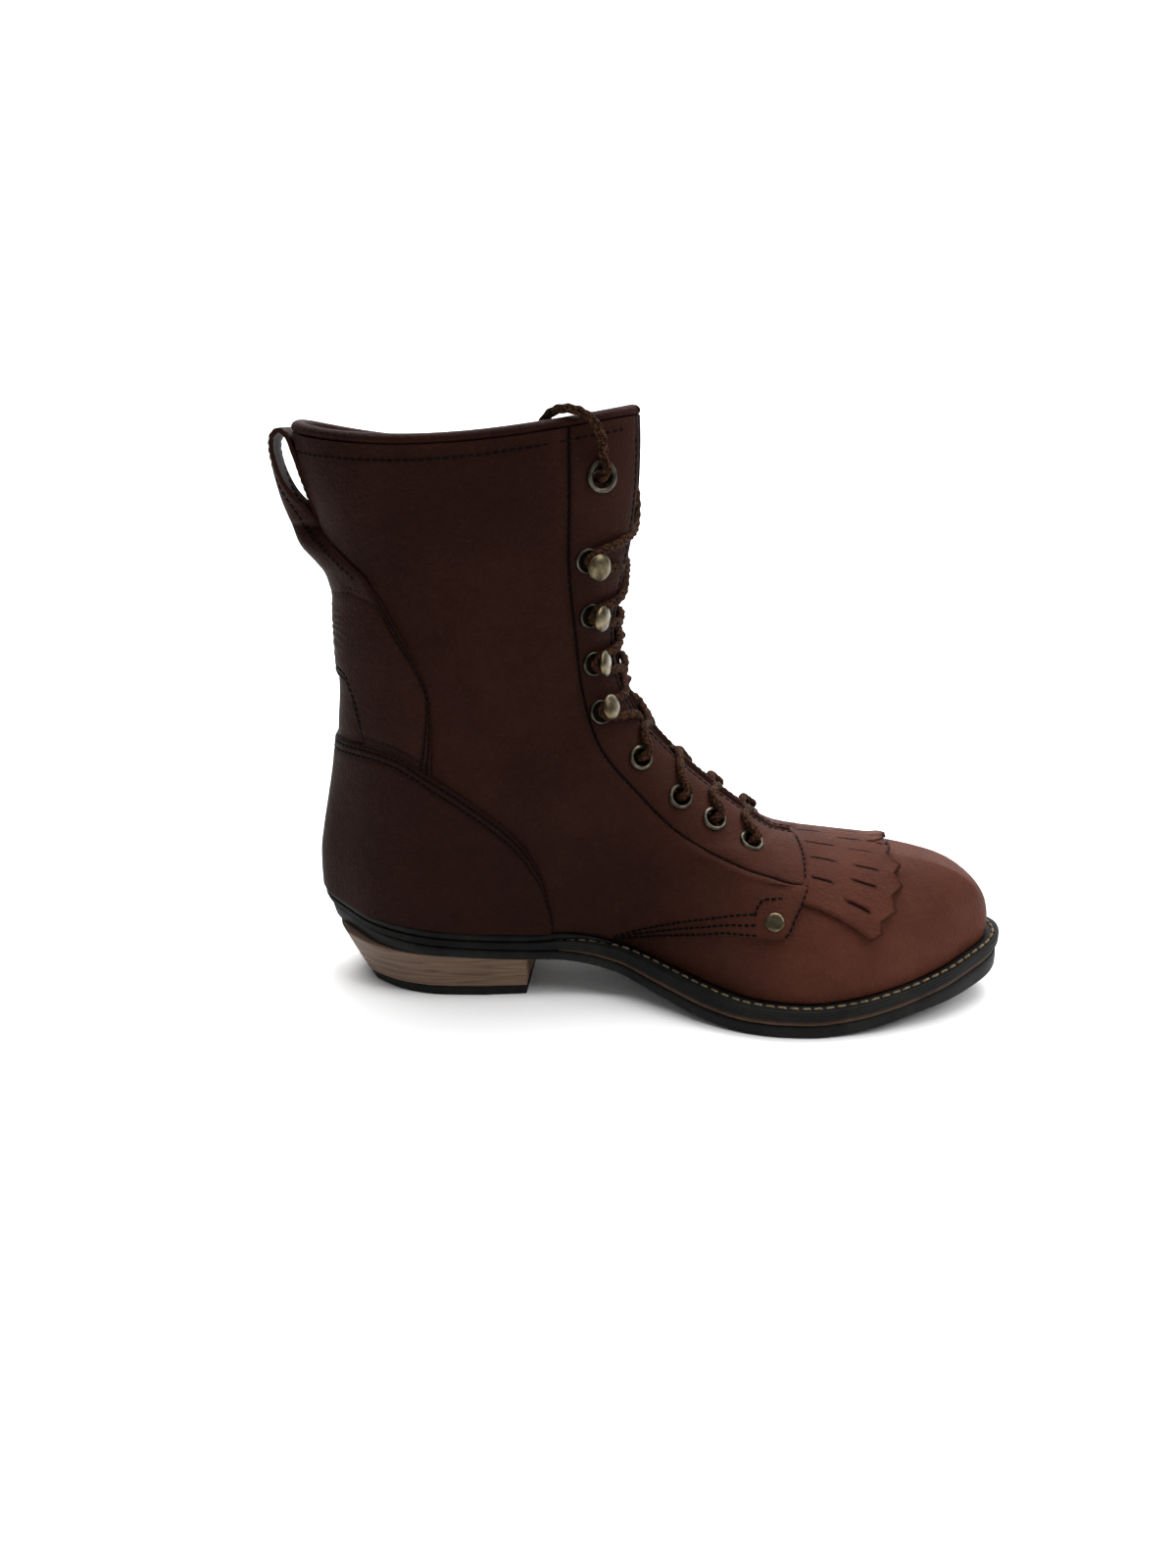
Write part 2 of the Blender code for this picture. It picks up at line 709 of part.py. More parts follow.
def join_by(target, tool, operation):
    """Boolean of a tool on a target; the tool becomes a hidden cutter."""
    change = target.modifiers.new(operation.lower(), "BOOLEAN")
    change.operation = operation
    change.solver = "EXACT"
    change.object = tool
    tool.hide_render = True
    tool.display_type = "WIRE"


# Sole

LOOKS = {
    "rubber": (RUBBER, 0.55, 0.0),
    "midsole": (MIDSOLE_BROWN, 0.7, 0.0),
    "stack": (STACK_BROWN, 0.5, 0.0),
    "leather": (LEATHER, 0.5, 0.0),
    "leather_dark": (LEATHER_DARK, 0.5, 0.0),
    "insole": (INSOLE_TAN, 0.8, 0.0),
    "brass": (BRASS, 0.35, 1.0),
    "lace": (LACE_BROWN, 0.8, 0.0),
}


def sole_sides(inset, height, tuck=0.0, start=0.0, steps=PLAN_STEPS):
    """The inner and outer edge of a sole layer at one inset, with heights read from a function of x."""
    first = math.acos(1 - 2 * start / SOLE_LENGTH)
    angles = np.linspace(first, math.pi, steps + 1)
    x = SOLE_LENGTH * (1 - np.cos(angles)) / 2
    drawn_in = inset + tuck * (1 - ease(0.0, TUCK_END, x))
    sides = []
    for side in (-1, 1):
        plan = sole_edge(angles, side, drawn_in)
        sides.append(np.column_stack([plan, height(plan[:, 0])]))
    return sides


def outsole_top(x):
    return sole_bottom(x) + outsole_thick(x)


def midsole_bottom(x):
    return outsole_top(x) + SEAT_GAP


def midsole_top(x):
    return midsole_bottom(x) + midsole_thick(x)


def welt_bottom(x):
    return midsole_top(x) + SEAT_GAP


def welt_top(x):
    return welt_bottom(x) + welt_thick(x)


def rand_bottom(x):
    return welt_top(x) + SEAT_GAP


def rand_top(x):
    return rand_bottom(x) + rand_thick(x)


def build_outsole(boot):
    lowest = sole_sides(EDGE_STEP + EDGE_BEVEL, sole_bottom, TUCK["outsole_bottom"])
    edge = sole_sides(EDGE_STEP, lambda x: sole_bottom(x) + EDGE_BEVEL, TUCK["outsole_bottom"])
    top = sole_sides(EDGE_STEP, outsole_top, TUCK["outsole_top"])
    plate(boot, "outsole", [lowest, edge, top], LOOKS["rubber"])


def build_midsole(boot):
    low = sole_sides(2 * EDGE_STEP, midsole_bottom, start=MIDSOLE_START, steps=PLAN_STEPS * 3 // 4)
    high = sole_sides(2 * EDGE_STEP, midsole_top, start=MIDSOLE_START, steps=PLAN_STEPS * 3 // 4)
    plate(boot, "midsole", [low, high], LOOKS["midsole"])


def build_welt(boot):
    """A strip all round: its section is swept round the sole's edge."""
    rows = (
        sole_sides(EDGE_STEP, welt_bottom, TUCK["welt_bottom"]),
        sole_sides(0.0, lambda x: welt_bottom(x) + EDGE_BEVEL, TUCK["welt_bottom"]),
        sole_sides(0.0, lambda x: welt_top(x) - EDGE_BEVEL, TUCK["welt_top"]),
        sole_sides(EDGE_STEP, welt_top, TUCK["welt_top"]),
        sole_sides(WELT_WIDTH, welt_top),
        sole_sides(WELT_WIDTH, welt_bottom),
    )
    loops = [np.concatenate([inner, outer[-2:0:-1]]) for inner, outer in rows]
    sections = [[loop[i] for loop in loops] for i in range(len(loops[0]))]
    swept(boot, "welt", sections, LOOKS["rubber"], closed_path=True)


def rand_draw(x):
    """The rand draws in with the upper as it leaves the heel."""
    return float(ease(RAND_DRAW_START, RAND_END, x)) * RAND_DRAW


def build_rand(boot):
    """A bead on the welt round the heel, thinning out at the waist."""
    last = math.acos(1 - 2 * RAND_END / SOLE_LENGTH)
    sections = []
    for turn in np.linspace(-last, last, PLAN_STEPS + 1):
        side = -1 if turn < 0 else 1
        angle = np.array([abs(turn)])
        section = []
        x = SOLE_LENGTH * (1 - math.cos(abs(turn))) / 2
        for inset, share in (
            (RAND_INSET, 0.0),
            (RAND_INSET - RAND_BULGE, 0.5),
            (RAND_INSET + RAND_TOP_INSET, 1.0),
            (RAND_WIDTH, 1.0),
            (RAND_WIDTH, 0.0),
        ):
            tuck = TUCK["welt_top"] * (1 - share) * (1 - float(ease(0.0, TUCK_END, x)))
            plan = sole_edge(angle, side, np.array([inset + tuck + rand_draw(x)]))[0]
            lift = RAND_LIFT * float(ease(*RAND_LIFT_SPAN, plan[0]))
            thick = float(rand_thick(plan[0])) - lift - RAND_DROP * float(ease(*RAND_DROP_SPAN, plan[0]))
            height = float(rand_bottom(plan[0])) + lift + share * max(thick, RAND_LEAST)
            section.append((plan[0], plan[1], height))
        sections.append(section)
    swept(boot, "heel_rand", sections, LOOKS["rubber"], closed_path=False)


def build_insole(boot):
    low = sole_sides(INSOLE_INSET, lambda x: welt_bottom(x) + SEAT_GAP)
    high = sole_sides(INSOLE_INSET, lambda x: rand_top(x) + INSOLE_RISE)
    plate(boot, "insole", [low, high], LOOKS["insole"])


def heel_sides(depth):
    """Heel edge at a depth from 0 under the outsole to 1 on the floor, as inner and outer rows of x, y."""
    to_back = np.sin(np.linspace(math.pi / 2, 0, HEEL_STEPS + 1))
    top_back = HEEL_INSET + TUCK["stack_top"]
    low_breast = HEEL_BREAST - HEEL_BREAST_LEAN
    x_top = HEEL_BREAST - (HEEL_BREAST - top_back) * to_back
    x_low = low_breast - (low_breast - HEEL_BACK_BOTTOM) * to_back
    share = (x_top - top_back) / (HEEL_BREAST - top_back)
    angles = np.arccos(1 - 2 * x_top / SOLE_LENGTH)
    widest_angle = math.acos(1 - 2 * HEEL_WIDEST_X / SOLE_LENGTH)
    round_back = np.sqrt(1 - (1 - np.clip(share / HEEL_ROUND_SHARE, 0, 1)) ** HEEL_ROUNDNESS)
    sides = []
    for side in (-1, 1):
        full = np.abs(sole_edge(angles, side)[:, 1]) - HEEL_INSET
        widest = abs(sole_edge(np.array([widest_angle]), side)[0, 1]) - HEEL_INSET
        half_top = np.minimum(full, widest * round_back)
        narrow = HEEL_NARROW_MIDDLE + (HEEL_NARROW_BREAST - HEEL_NARROW_MIDDLE) * ease(0.5, 1.0, share)
        x = x_top + (x_low - x_top) * depth
        half = half_top * (1 + (narrow - 1) * depth)
        sides.append(np.column_stack([x, side * half]))
    return sides


def build_heel(boot):
    def at(depth, height):
        return [np.column_stack([plan, height(plan[:, 0])]) for plan in heel_sides(depth)]

    def stack_top(x):
        return sole_bottom(x) - SEAT_GAP

    levels = (
        at(TOPLIFT_DEPTH, lambda x: np.full_like(x, TOPLIFT_HEIGHT + SEAT_GAP)),
        at(HEEL_WAIST_DEPTH, lambda x: (TOPLIFT_HEIGHT + stack_top(x)) / 2),
        at(0.0, stack_top),
    )
    plate(boot, "heel_stack", levels, LOOKS["stack"])
    lift = (
        at(1.0, lambda x: np.zeros_like(x)),
        at(TOPLIFT_DEPTH, lambda x: np.full_like(x, TOPLIFT_HEIGHT)),
    )
    plate(boot, "heel_toplift", lift, LOOKS["rubber"])


# Upper and overlays

def build_upper(boot):
    grid = []
    for row in UPPER_ROWS:
        inner = -edge_turn(row, -1) * np.linspace(1, 0, SIDE_STEPS + 1)
        outer = edge_turn(row, 1) * np.linspace(0, 1, SIDE_STEPS + 1)[1:]
        grid.append(surface(np.concatenate([inner, outer]), float(row)))
    shell(boot, "upper", np.array(grid), WALL, -1, LOOKS["leather"])


def facet_point(turn, row, out):
    """Point at a distance outside the flat facets that the upper's sheet is made of."""
    side = -1 if turn < 0 else 1
    k = min(int(np.searchsorted(UPPER_ROWS, row, side="right")) - 1, len(UPPER_ROWS) - 2)
    low, high = UPPER_ROWS[k], UPPER_ROWS[k + 1]
    up = (row - low) / (high - low)
    low_edge, high_edge = edge_turn(low, side), edge_turn(high, side)
    place = min(abs(turn) / (low_edge + (high_edge - low_edge) * up) * SIDE_STEPS, SIDE_STEPS)
    c = min(int(place), SIDE_STEPS - 1)
    columns = np.array([c, c + 1]) * side / SIDE_STEPS
    rim = surface(columns * low_edge, low) * (1 - up) + surface(columns * high_edge, high) * up
    return rim[0] + (rim[1] - rim[0]) * (place - c) + surface_normal(turn, row) * out


def ruled(low, high, steps, out):
    """Grid outside the upper between two lists of (angle, row) places."""
    low, high = np.array(low), np.array(high)
    grid = []
    for share in np.linspace(0, 1, steps + 1):
        places = low + (high - low) * share
        grid.append([facet_point(turn, row, out) for turn, row in places])
    return np.array(grid)


def back_at(z):
    return float(back_x(z))


def side_sheet(low, high, steps, out):
    """Grid outside the upper between two edges, each a list of (x, z, side) places."""
    grid = []
    for share in np.linspace(0, 1, steps + 1):
        line = []
        for (low_x, low_z, side), (high_x, high_z, _) in zip(low, high):
            z = low_z + (high_z - low_z) * share
            from_back = (low_x - back_at(low_z)) * (1 - share) + (high_x - back_at(high_z)) * share
            turn, row = locate(back_at(z) + from_back, z, side)
            line.append(facet_point(turn, row, out))
        grid.append(line)
    return np.array(grid)


def side_columns(count):
    """Signed shares from the inner front end (-1) over the back (0) to the outer front end (1)."""
    return np.linspace(-1, 1, 2 * count + 1)


counter_edge = smooth(column(COUNTER_EDGE, EDGE_COLUMNS, "x"), column(COUNTER_EDGE, EDGE_COLUMNS, "z"))
strap_top = smooth(column(STRAP_TOP_EDGE, EDGE_COLUMNS, "x"), column(STRAP_TOP_EDGE, EDGE_COLUMNS, "z"))
strap_arch = smooth(column(STRAP_ARCH_EDGE, EDGE_COLUMNS, "x"), column(STRAP_ARCH_EDGE, EDGE_COLUMNS, "z"))


def spread(start, end, share):
    """Position from start to end, with close steps at both ends."""
    return start + (end - start) * (1 - math.cos(math.pi * share)) / 2


def build_counter(boot):
    end = COUNTER_EDGE[-1][0]
    low, high = [], []
    for share in side_columns(COUNTER_COLUMNS):
        side = -1 if share < 0 else 1
        x = spread(back_at(float(counter_edge(0.0))), end, share)
        high.append((x, float(counter_edge(x)), side))
        x = spread(back_at(float(feather(4.0)) + COUNTER_FOOT), end, share)
        low.append((x, float(feather(x)) + COUNTER_FOOT, side))
    grid = side_sheet(low, high, COUNTER_ROWS, COUNTER_GAP)
    shell(boot, "counter", grid, COUNTER_THICK, 1, LOOKS["leather_dark"])


def build_back_strap(boot):
    end = STRAP_TOP_EDGE[-1][0]
    arch_end = STRAP_ARCH_EDGE[-1][0]
    start = back_at(STRAP_MIDDLE_Z)
    low, high = [], []
    for share in side_columns(STRAP_COLUMNS):
        side = -1 if share < 0 else 1
        x = spread(start, end, share)
        foot = float(strap_arch(x)) if x < arch_end else float(counter_edge(x)) + 2 * SEAT_GAP
        low.append((x, foot, side))
        high.append((x, float(strap_top(x)), side))
    grid = side_sheet(low, high, STRAP_ROWS, OVERLAY_GAP)
    shell(boot, "back_strap", grid, STRAP_THICK, 1, LOOKS["leather"])


def path_places(points, side):
    return [locate(x, z, side) for x, z in points]


def along(places, count):
    """Places spread evenly along a path of (angle, row) places, by index."""
    places = np.array(places)
    at = np.linspace(0, len(places) - 1, count)
    return np.column_stack([np.interp(at, np.arange(len(places)), places[:, k]) for k in (0, 1)])


def build_eyestay(boot, name, side):
    """Facing between its seam and the throat's edge, run out to a point at the front."""
    seam = path_places(EYESTAY_SEAM, side)
    rows = np.linspace(TOP_ROW - EYESTAY_TOP_INSET, THROAT_ROW + EYESTAY_LOW_INSET, EYESTAY_THROAT_ROWS)
    throat = [(side * (edge_turn(row, side) - EYESTAY_INSET_TURN), row) for row in rows]
    edge = throat + [vamp_place(x, side * across) for x, across in EYESTAY_FRONT]
    grid = ruled(along(seam, EYESTAY_STEPS), along(edge, EYESTAY_STEPS), EYESTAY_ROWS, EYESTAY_GAP)
    shell(boot, name, grid[::side], EYESTAY_THICK, 1, LOOKS["leather"])


def build_tongue(boot):
    """Sheet behind the throat, inside the upper's wall."""
    grid = []
    for row in np.linspace(TONGUE_ROWS[0], TONGUE_ROWS[1], TONGUE_LEVELS):
        turns = np.linspace(math.pi - TONGUE_HALF_TURN, math.pi + TONGUE_HALF_TURN, TONGUE_STRIPS)
        turns = np.where(turns > math.pi, turns - 2 * math.pi, turns)
        grid.append(offset_point(turns, row, -WALL - TONGUE_GAP))
    shell(boot, "tongue", np.array(grid), TONGUE_THICK, -1, LOOKS["leather"])


def kiltie_columns():
    """Across shares of the kiltie's columns, each with the slit that follows it and its pinking."""
    shares = column(KILTIE, KILTIE_COLUMNS, "across")
    columns = []
    edge = shares[-1]
    marks = sorted({s * k for k in KILTIE_SLITS for s in (-1, 1)})
    columns.append((-edge, "corner"))
    columns.append((-(edge + marks[-1]) / 2 - KILTIE_SIDE_SHIFT, "tip"))
    for k, mark in enumerate(marks):
        columns.append((mark - KILTIE_SLIT_HALF, "slit"))
        columns.append((mark + KILTIE_SLIT_HALF, "notch"))
        if k < len(marks) - 1:
            columns.append(((mark + marks[k + 1]) / 2, "tip"))
    columns.append(((edge + marks[-1]) / 2 + KILTIE_SIDE_SHIFT, "tip"))
    columns.append((edge, "corner"))
    return columns


def build_kiltie(boot):
    """Fringed flap on the vamp: two rows of slits are left open, and its front edge is pinked."""
    rear = smooth(column(KILTIE, KILTIE_COLUMNS, "across"), column(KILTIE, KILTIE_COLUMNS, "rear"))
    front = smooth(column(KILTIE, KILTIE_COLUMNS, "across"), column(KILTIE, KILTIE_COLUMNS, "front"))
    first, second = KILTIE_CUTS
    steps = [0.0, first[0], sum(first) / 2, first[1], second[0], sum(second) / 2, second[1], 1.0]
    columns = kiltie_columns()
    grid = np.empty((len(steps), len(columns), 3))
    skip = set()
    for c, (across, kind) in enumerate(columns):
        start = float(rear(abs(across)))
        end = float(front(abs(across)))
        if kind in ("slit", "notch"):
            end -= KILTIE_PINK
        for r, step in enumerate(steps):
            turn, row = vamp_place(start + (end - start) * step, across)
            grid[r, c] = offset_point(turn, row, OVERLAY_GAP)
        if kind == "slit":
            skip.update(((4, c), (5, c)))
            short_row = KILTIE_SLITS[KILTIE_SHORT_ROW_SLITS - 1 : KILTIE_SHORT_ROW_SLITS + 1]
            if abs(across) < sum(short_row) / 2:
                skip.update(((1, c), (2, c)))
    shell(boot, "kiltie", grid, KILTIE_THICK, 1, LOOKS["leather"], skip)


def build_binding(boot):
    """Rolled edge on top of the collar, from one side of the throat round the back to the other."""
    first = -edge_turn(TOP_ROW, -1) + BINDING_END_TURN
    last = edge_turn(TOP_ROW, 1) - BINDING_END_TURN
    turns = np.linspace(first, last, BINDING_POINTS)
    inward = surface_normal(turns, TOP_ROW) * (-WALL / 2)
    route = surface(turns, TOP_ROW) + inward + (0, 0, BINDING_RADIUS + SEAT_GAP)
    tube(boot, "collar_binding", route, BINDING_RADIUS, LOOKS["leather_dark"])


def build_pull_loop(boot):
    """Strap that leaves the back of the shaft, turns over at the collar and comes down on the shaft."""
    centre = np.array(LOOP)
    tangent = np.gradient(centre, axis=0)
    tangent /= np.linalg.norm(tangent, axis=1, keepdims=True)
    normal = np.column_stack([-tangent[:, 1], tangent[:, 0]])
    across = np.linspace(-LOOP_HALF_WIDTH, LOOP_HALF_WIDTH, LOOP_STRIPS)
    sections = []
    for (x, z), (nx, nz) in zip(centre, normal):
        bow = across ** 2 / LOOP_BOW
        faces = []
        for sign in (0.5, -0.5):
            faces.append(np.column_stack([x + bow + sign * LOOP_THICK * nx, across,
                                          np.full_like(across, z + sign * LOOP_THICK * nz)]))
        sections.append(np.concatenate([faces[0], faces[1][::-1]]))
    swept(boot, "pull_loop", sections, LOOKS["leather"], closed_path=False)


# Hardware

def side_frame(x, z, side, out):
    """Frame on the upper: origin at a height outside it, z axis outward, x axis towards the toe or throat."""
    turn, row = locate(x, z, side)
    normal = Vector(surface_normal(turn, row))
    forward = Vector(surface(turn + side * 0.02, row) - surface(turn - side * 0.02, row))
    forward -= normal * forward.dot(normal)
    forward.normalize()
    across = normal.cross(forward)
    origin = Vector(to_frame(surface(turn, row) + np.array(normal) * out))
    frame = Matrix((forward, across, normal)).transposed().to_4x4()
    frame.translation = origin
    return frame


def build_eyelet(boot, name, place, side, scale):
    bpy.ops.mesh.primitive_torus_add(
        major_segments=EYELET_SIDES,
        minor_segments=EYELET_RIM_SIDES,
        major_radius=EYELET_RADIUS * scale * MM,
        minor_radius=EYELET_RIM * scale * MM,
    )
    made = bpy.context.object
    mesh = made.data
    bpy.data.objects.remove(made, do_unlink=True)
    mesh.transform(Matrix.Diagonal((1.0, 1.0, EYELET_FLATNESS, 1.0)))
    mesh.name = name
    made = piece(boot, name, mesh, LOOKS["brass"])
    lift = FACING_TOP + 2 * SEAT_GAP + EYELET_RIM * scale * EYELET_FLATNESS
    made.matrix_world = side_frame(*place, side, lift)


def disc(radius, height, segments, top_share):
    """Closed disc as a bmesh, with its base at z 0 and a smaller top."""
    shape = bmesh.new()
    bmesh.ops.create_cone(shape, cap_ends=True, segments=segments, radius1=radius * MM,
                          radius2=radius * top_share * MM, depth=height * MM)
    bmesh.ops.translate(shape, verts=shape.verts, vec=(0, 0, height * MM / 2))
    return shape


def turned(cutters, name, shape, look):
    return piece(cutters, name, finish_mesh(shape, name), look)


def build_hook(boot, name, place, side):
    """Base plate, neck and domed cap, turned about a leaning axis."""
    angles = np.linspace(0, 2 * math.pi, HOOK_SIDES, endpoint=False)
    shape = bmesh.new()
    loops = []
    for height, radius, forward in HOOK:
        around = forward + radius * np.cos(angles), radius * np.sin(angles), 0 * angles + height
        ring = np.column_stack(around)
        loops.append([shape.verts.new(p) for p in ring * MM])
    for low, high in zip(loops, loops[1:]):
        for i in range(HOOK_SIDES):
            j = (i + 1) % HOOK_SIDES
            shape.faces.new((low[i], low[j], high[j], high[i]))
    shape.faces.new(loops[0])
    shape.faces.new(loops[-1])
    made = turned(boot, name, shape, LOOKS["brass"])
    made.matrix_world = side_frame(*place, side, FACING_TOP + 2 * SEAT_GAP)


def build_rivet(boot, name, side):
    made = turned(boot, name, disc(RIVET_RADIUS, RIVET_HEIGHT, RIVET_SIDES, RIVET_TOP_SHARE), LOOKS["brass"])
    made.matrix_world = side_frame(*RIVET_PLACE, side, SEAT_GAP)


# Laces

def lace_point(place, side, towards, along_throat):
    """Point over the facing beside an eyelet or hook, moved towards the throat and up along it."""
    frame = side_frame(*place, side, LACE_OUT)
    local = frame @ Vector((towards * MM, -side * along_throat * MM, 0))
    return np.array(local) / MM + (BOX_CENTRE_X, BOX_CENTRE_Y, 0.0)


def strand(start_place, start_side, end_place, rise):
    """Lace from beside one place, over the throat, to beside the next place on the other side."""
    first = lace_point(start_place, start_side, LACE_START, LACE_APART)
    last = lace_point(end_place, -start_side, LACE_START, -LACE_APART)
    low_row = locate(*start_place, start_side)[1]
    high_row = locate(*end_place, -start_side)[1]
    route = [first]
    for share in (0.25, 0.5, 0.75):
        row = low_row + (high_row - low_row) * share
        ridge_point = np.array([float(front_x(row)), 0.0, float(front_z(row))])
        out = np.array(surface_normal(math.pi, row)) * (LACE_OUT + rise)
        point = first + (last - first) * share
        reach = abs(point[1]) / max(abs(first[1]), abs(last[1]))
        over = ridge_point + out
        over[1] = point[1]
        route.append(over + (point - over) * reach ** 2)
    route.append(last)
    return route


def build_laces(boot, cutters):
    places = EYELET_PLACES + HOOK_PLACES + (TOP_EYELET_PLACE,)
    for k, (low, high) in enumerate(zip(places, places[1:])):
        name = f"lace_cross_{k + 1}"
        over, under = strand(low, -1, high, LACE_OVER), strand(low, 1, high, LACE_UNDER)
        one = tube_to_mesh(tube(boot, name, over, LACE_RADIUS, LOOKS["lace"]))
        other = tube_to_mesh(tube(cutters, name + "_other", under, LACE_RADIUS, LOOKS["lace"]))
        join_by(one, other, "UNION")
    tube(boot, "lace_end", LACE_END_ROUTE, LACE_RADIUS, LOOKS["lace"])


def main():
    boot, cutters = start_scene()
    build_outsole(boot)
    build_midsole(boot)
    build_welt(boot)
    build_rand(boot)
    build_insole(boot)
    build_heel(boot)
    build_upper(boot)
    build_counter(boot)
    build_back_strap(boot)
    build_pull_loop(boot)
    build_binding(boot)
    build_tongue(boot)
    build_kiltie(boot)
    for side, label in ((-1, "medial"), (1, "lateral")):
        build_eyestay(boot, f"eyestay_{label}", side)
        for k, place in enumerate(EYELET_PLACES):
            build_eyelet(boot, f"eyelet_{label}_{k + 1}", place, side, 1.0)
        build_eyelet(boot, f"eyelet_{label}_top", TOP_EYELET_PLACE, side, TOP_EYELET_SCALE)
        for k, place in enumerate(HOOK_PLACES):
            build_hook(boot, f"hook_{label}_{k + 1}", place, side)
        build_rivet(boot, f"rivet_{label}", side)
    build_laces(boot, cutters)


main()
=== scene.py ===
"""Looks of a left packer boot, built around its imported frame.

Sizes are in millimetres in the modelling frame of the part: x runs from the back of the heel (0) to the
toe, y from the inner side of the foot (negative) to its outer side, z up from the floor. The curves of the
last and of the sole are those of the part's solids, sampled finely here. Leather panels are laid on the last
and rolled off at their edges; stitches, metal and laces sit on the panels.
"""

import math

import bmesh
import bpy
import numpy as np
from mathutils import Matrix, Vector


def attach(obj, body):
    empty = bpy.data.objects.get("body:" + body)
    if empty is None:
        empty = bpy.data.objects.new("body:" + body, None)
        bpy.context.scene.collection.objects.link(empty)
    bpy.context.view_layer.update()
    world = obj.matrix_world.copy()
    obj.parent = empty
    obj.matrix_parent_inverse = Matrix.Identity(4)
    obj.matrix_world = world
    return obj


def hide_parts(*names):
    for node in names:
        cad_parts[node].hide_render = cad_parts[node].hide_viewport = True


MM = 0.001
CENTRE = np.array((150.7, -4.4, 0.0))
SIDES = {"medial": -1, "lateral": 1}

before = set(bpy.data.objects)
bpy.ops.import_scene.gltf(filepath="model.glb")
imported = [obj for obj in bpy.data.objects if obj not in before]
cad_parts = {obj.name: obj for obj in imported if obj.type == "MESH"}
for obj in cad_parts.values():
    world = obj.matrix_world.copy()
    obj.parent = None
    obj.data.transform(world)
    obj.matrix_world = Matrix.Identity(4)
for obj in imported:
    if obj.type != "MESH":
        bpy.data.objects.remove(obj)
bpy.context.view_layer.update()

# Camera, in the modelling frame
CAMERA_PLACE = (163.3, -496.0, 252.0)
CAMERA_LOOK = (-0.0763, 0.9480, -0.3090)
CAMERA_LENS = 27.0
CAMERA_SENSOR = 36.0

# Sole
SOLE_LENGTH = 308.0
SEAT_GAP = 0.3
PLAN_COLUMNS = ("x", "inner", "outer", "bare_inner", "bare_outer")
PLAN = (
    (14.0, 20.5, 20.5, 2.2, 2.2),
    (30.0, 30.5, 30.5, 2.2, 2.2),
    (52.0, 35.8, 35.8, 2.2, 2.2),
    (76.0, 35.6, 36.4, 2.3, 2.3),
    (100.0, 33.2, 36.6, 2.8, 2.6),
    (120.0, 30.2, 36.8, 4.4, 3.6),
    (138.0, 29.6, 38.2, 6.8, 4.6),
    (156.0, 37.4, 42.0, 9.0, 5.4),
    (176.0, 49.2, 46.4, 9.2, 5.8),
    (194.0, 56.4, 49.0, 7.6, 5.8),
    (210.0, 58.8, 50.0, 6.4, 5.8),
    (228.0, 57.4, 49.2, 5.8, 5.8),
    (246.0, 52.6, 46.8, 5.6, 5.6),
    (264.0, 44.8, 42.0, 5.5, 5.5),
    (280.0, 35.8, 34.6, 5.5, 5.5),
    (296.0, 22.4, 22.4, 5.5, 5.5),
)
PLAN_BACK_RADIUS = 29.0
PLAN_TOE_RADIUS = 27.0
PLAN_STEPS = 180
SOLE_COLUMNS = ("x", "bottom", "outsole", "midsole", "welt", "rand")
SOLE = (
    (0.0, 28.0, 7.8, 0.0, 3.2, 3.6),
    (14.0, 24.4, 7.4, 0.0, 3.2, 3.6),
    (30.0, 22.0, 6.4, 0.0, 3.2, 3.6),
    (60.0, 20.4, 4.8, 0.0, 3.2, 3.6),
    (85.0, 19.6, 4.2, 0.0, 3.3, 3.6),
    (100.0, 19.0, 4.2, 0.0, 3.5, 3.4),
    (112.0, 18.3, 4.3, 0.3, 3.8, 3.0),
    (124.0, 16.6, 4.4, 0.7, 4.2, 2.3),
    (136.0, 13.2, 4.6, 1.1, 4.6, 1.2),
    (148.0, 9.0, 5.0, 1.4, 5.0, 0.3),
    (160.0, 5.5, 5.3, 1.6, 5.0, 0.0),
    (174.0, 2.4, 5.5, 1.6, 5.0, 0.0),
    (188.0, 0.5, 5.5, 1.6, 5.0, 0.0),
    (196.0, 0.0, 5.5, 1.6, 5.0, 0.0),
    (222.0, 0.0, 5.5, 1.6, 5.0, 0.0),
    (238.0, 1.1, 5.5, 1.6, 5.0, 0.0),
    (255.0, 3.6, 5.5, 1.6, 5.0, 0.0),
    (275.0, 6.8, 6.5, 1.6, 5.0, 0.0),
    (290.0, 8.8, 8.2, 1.6, 5.0, 0.0),
    (308.0, 12.8, 9.1, 1.6, 5.0, 0.0),
)
MIDSOLE_START = 113.0
WELT_WIDTH = 14.0
WELT_RIDGES = 4
WELT_RIDGE_DEPTH = 0.18
WELT_GROOVE = 0.45
RAND_END = 136.0
RAND_INSET = 0.9
RAND_WIDTH = 8.0
RAND_DRAW = 3.4
RAND_DRAW_START = 95.0
TUCK_END = 60.0
TUCK = {"welt_top": 1.6, "welt_bottom": 2.8, "outsole_top": 3.2, "outsole_bottom": 5.4, "stack_top": 7.2}
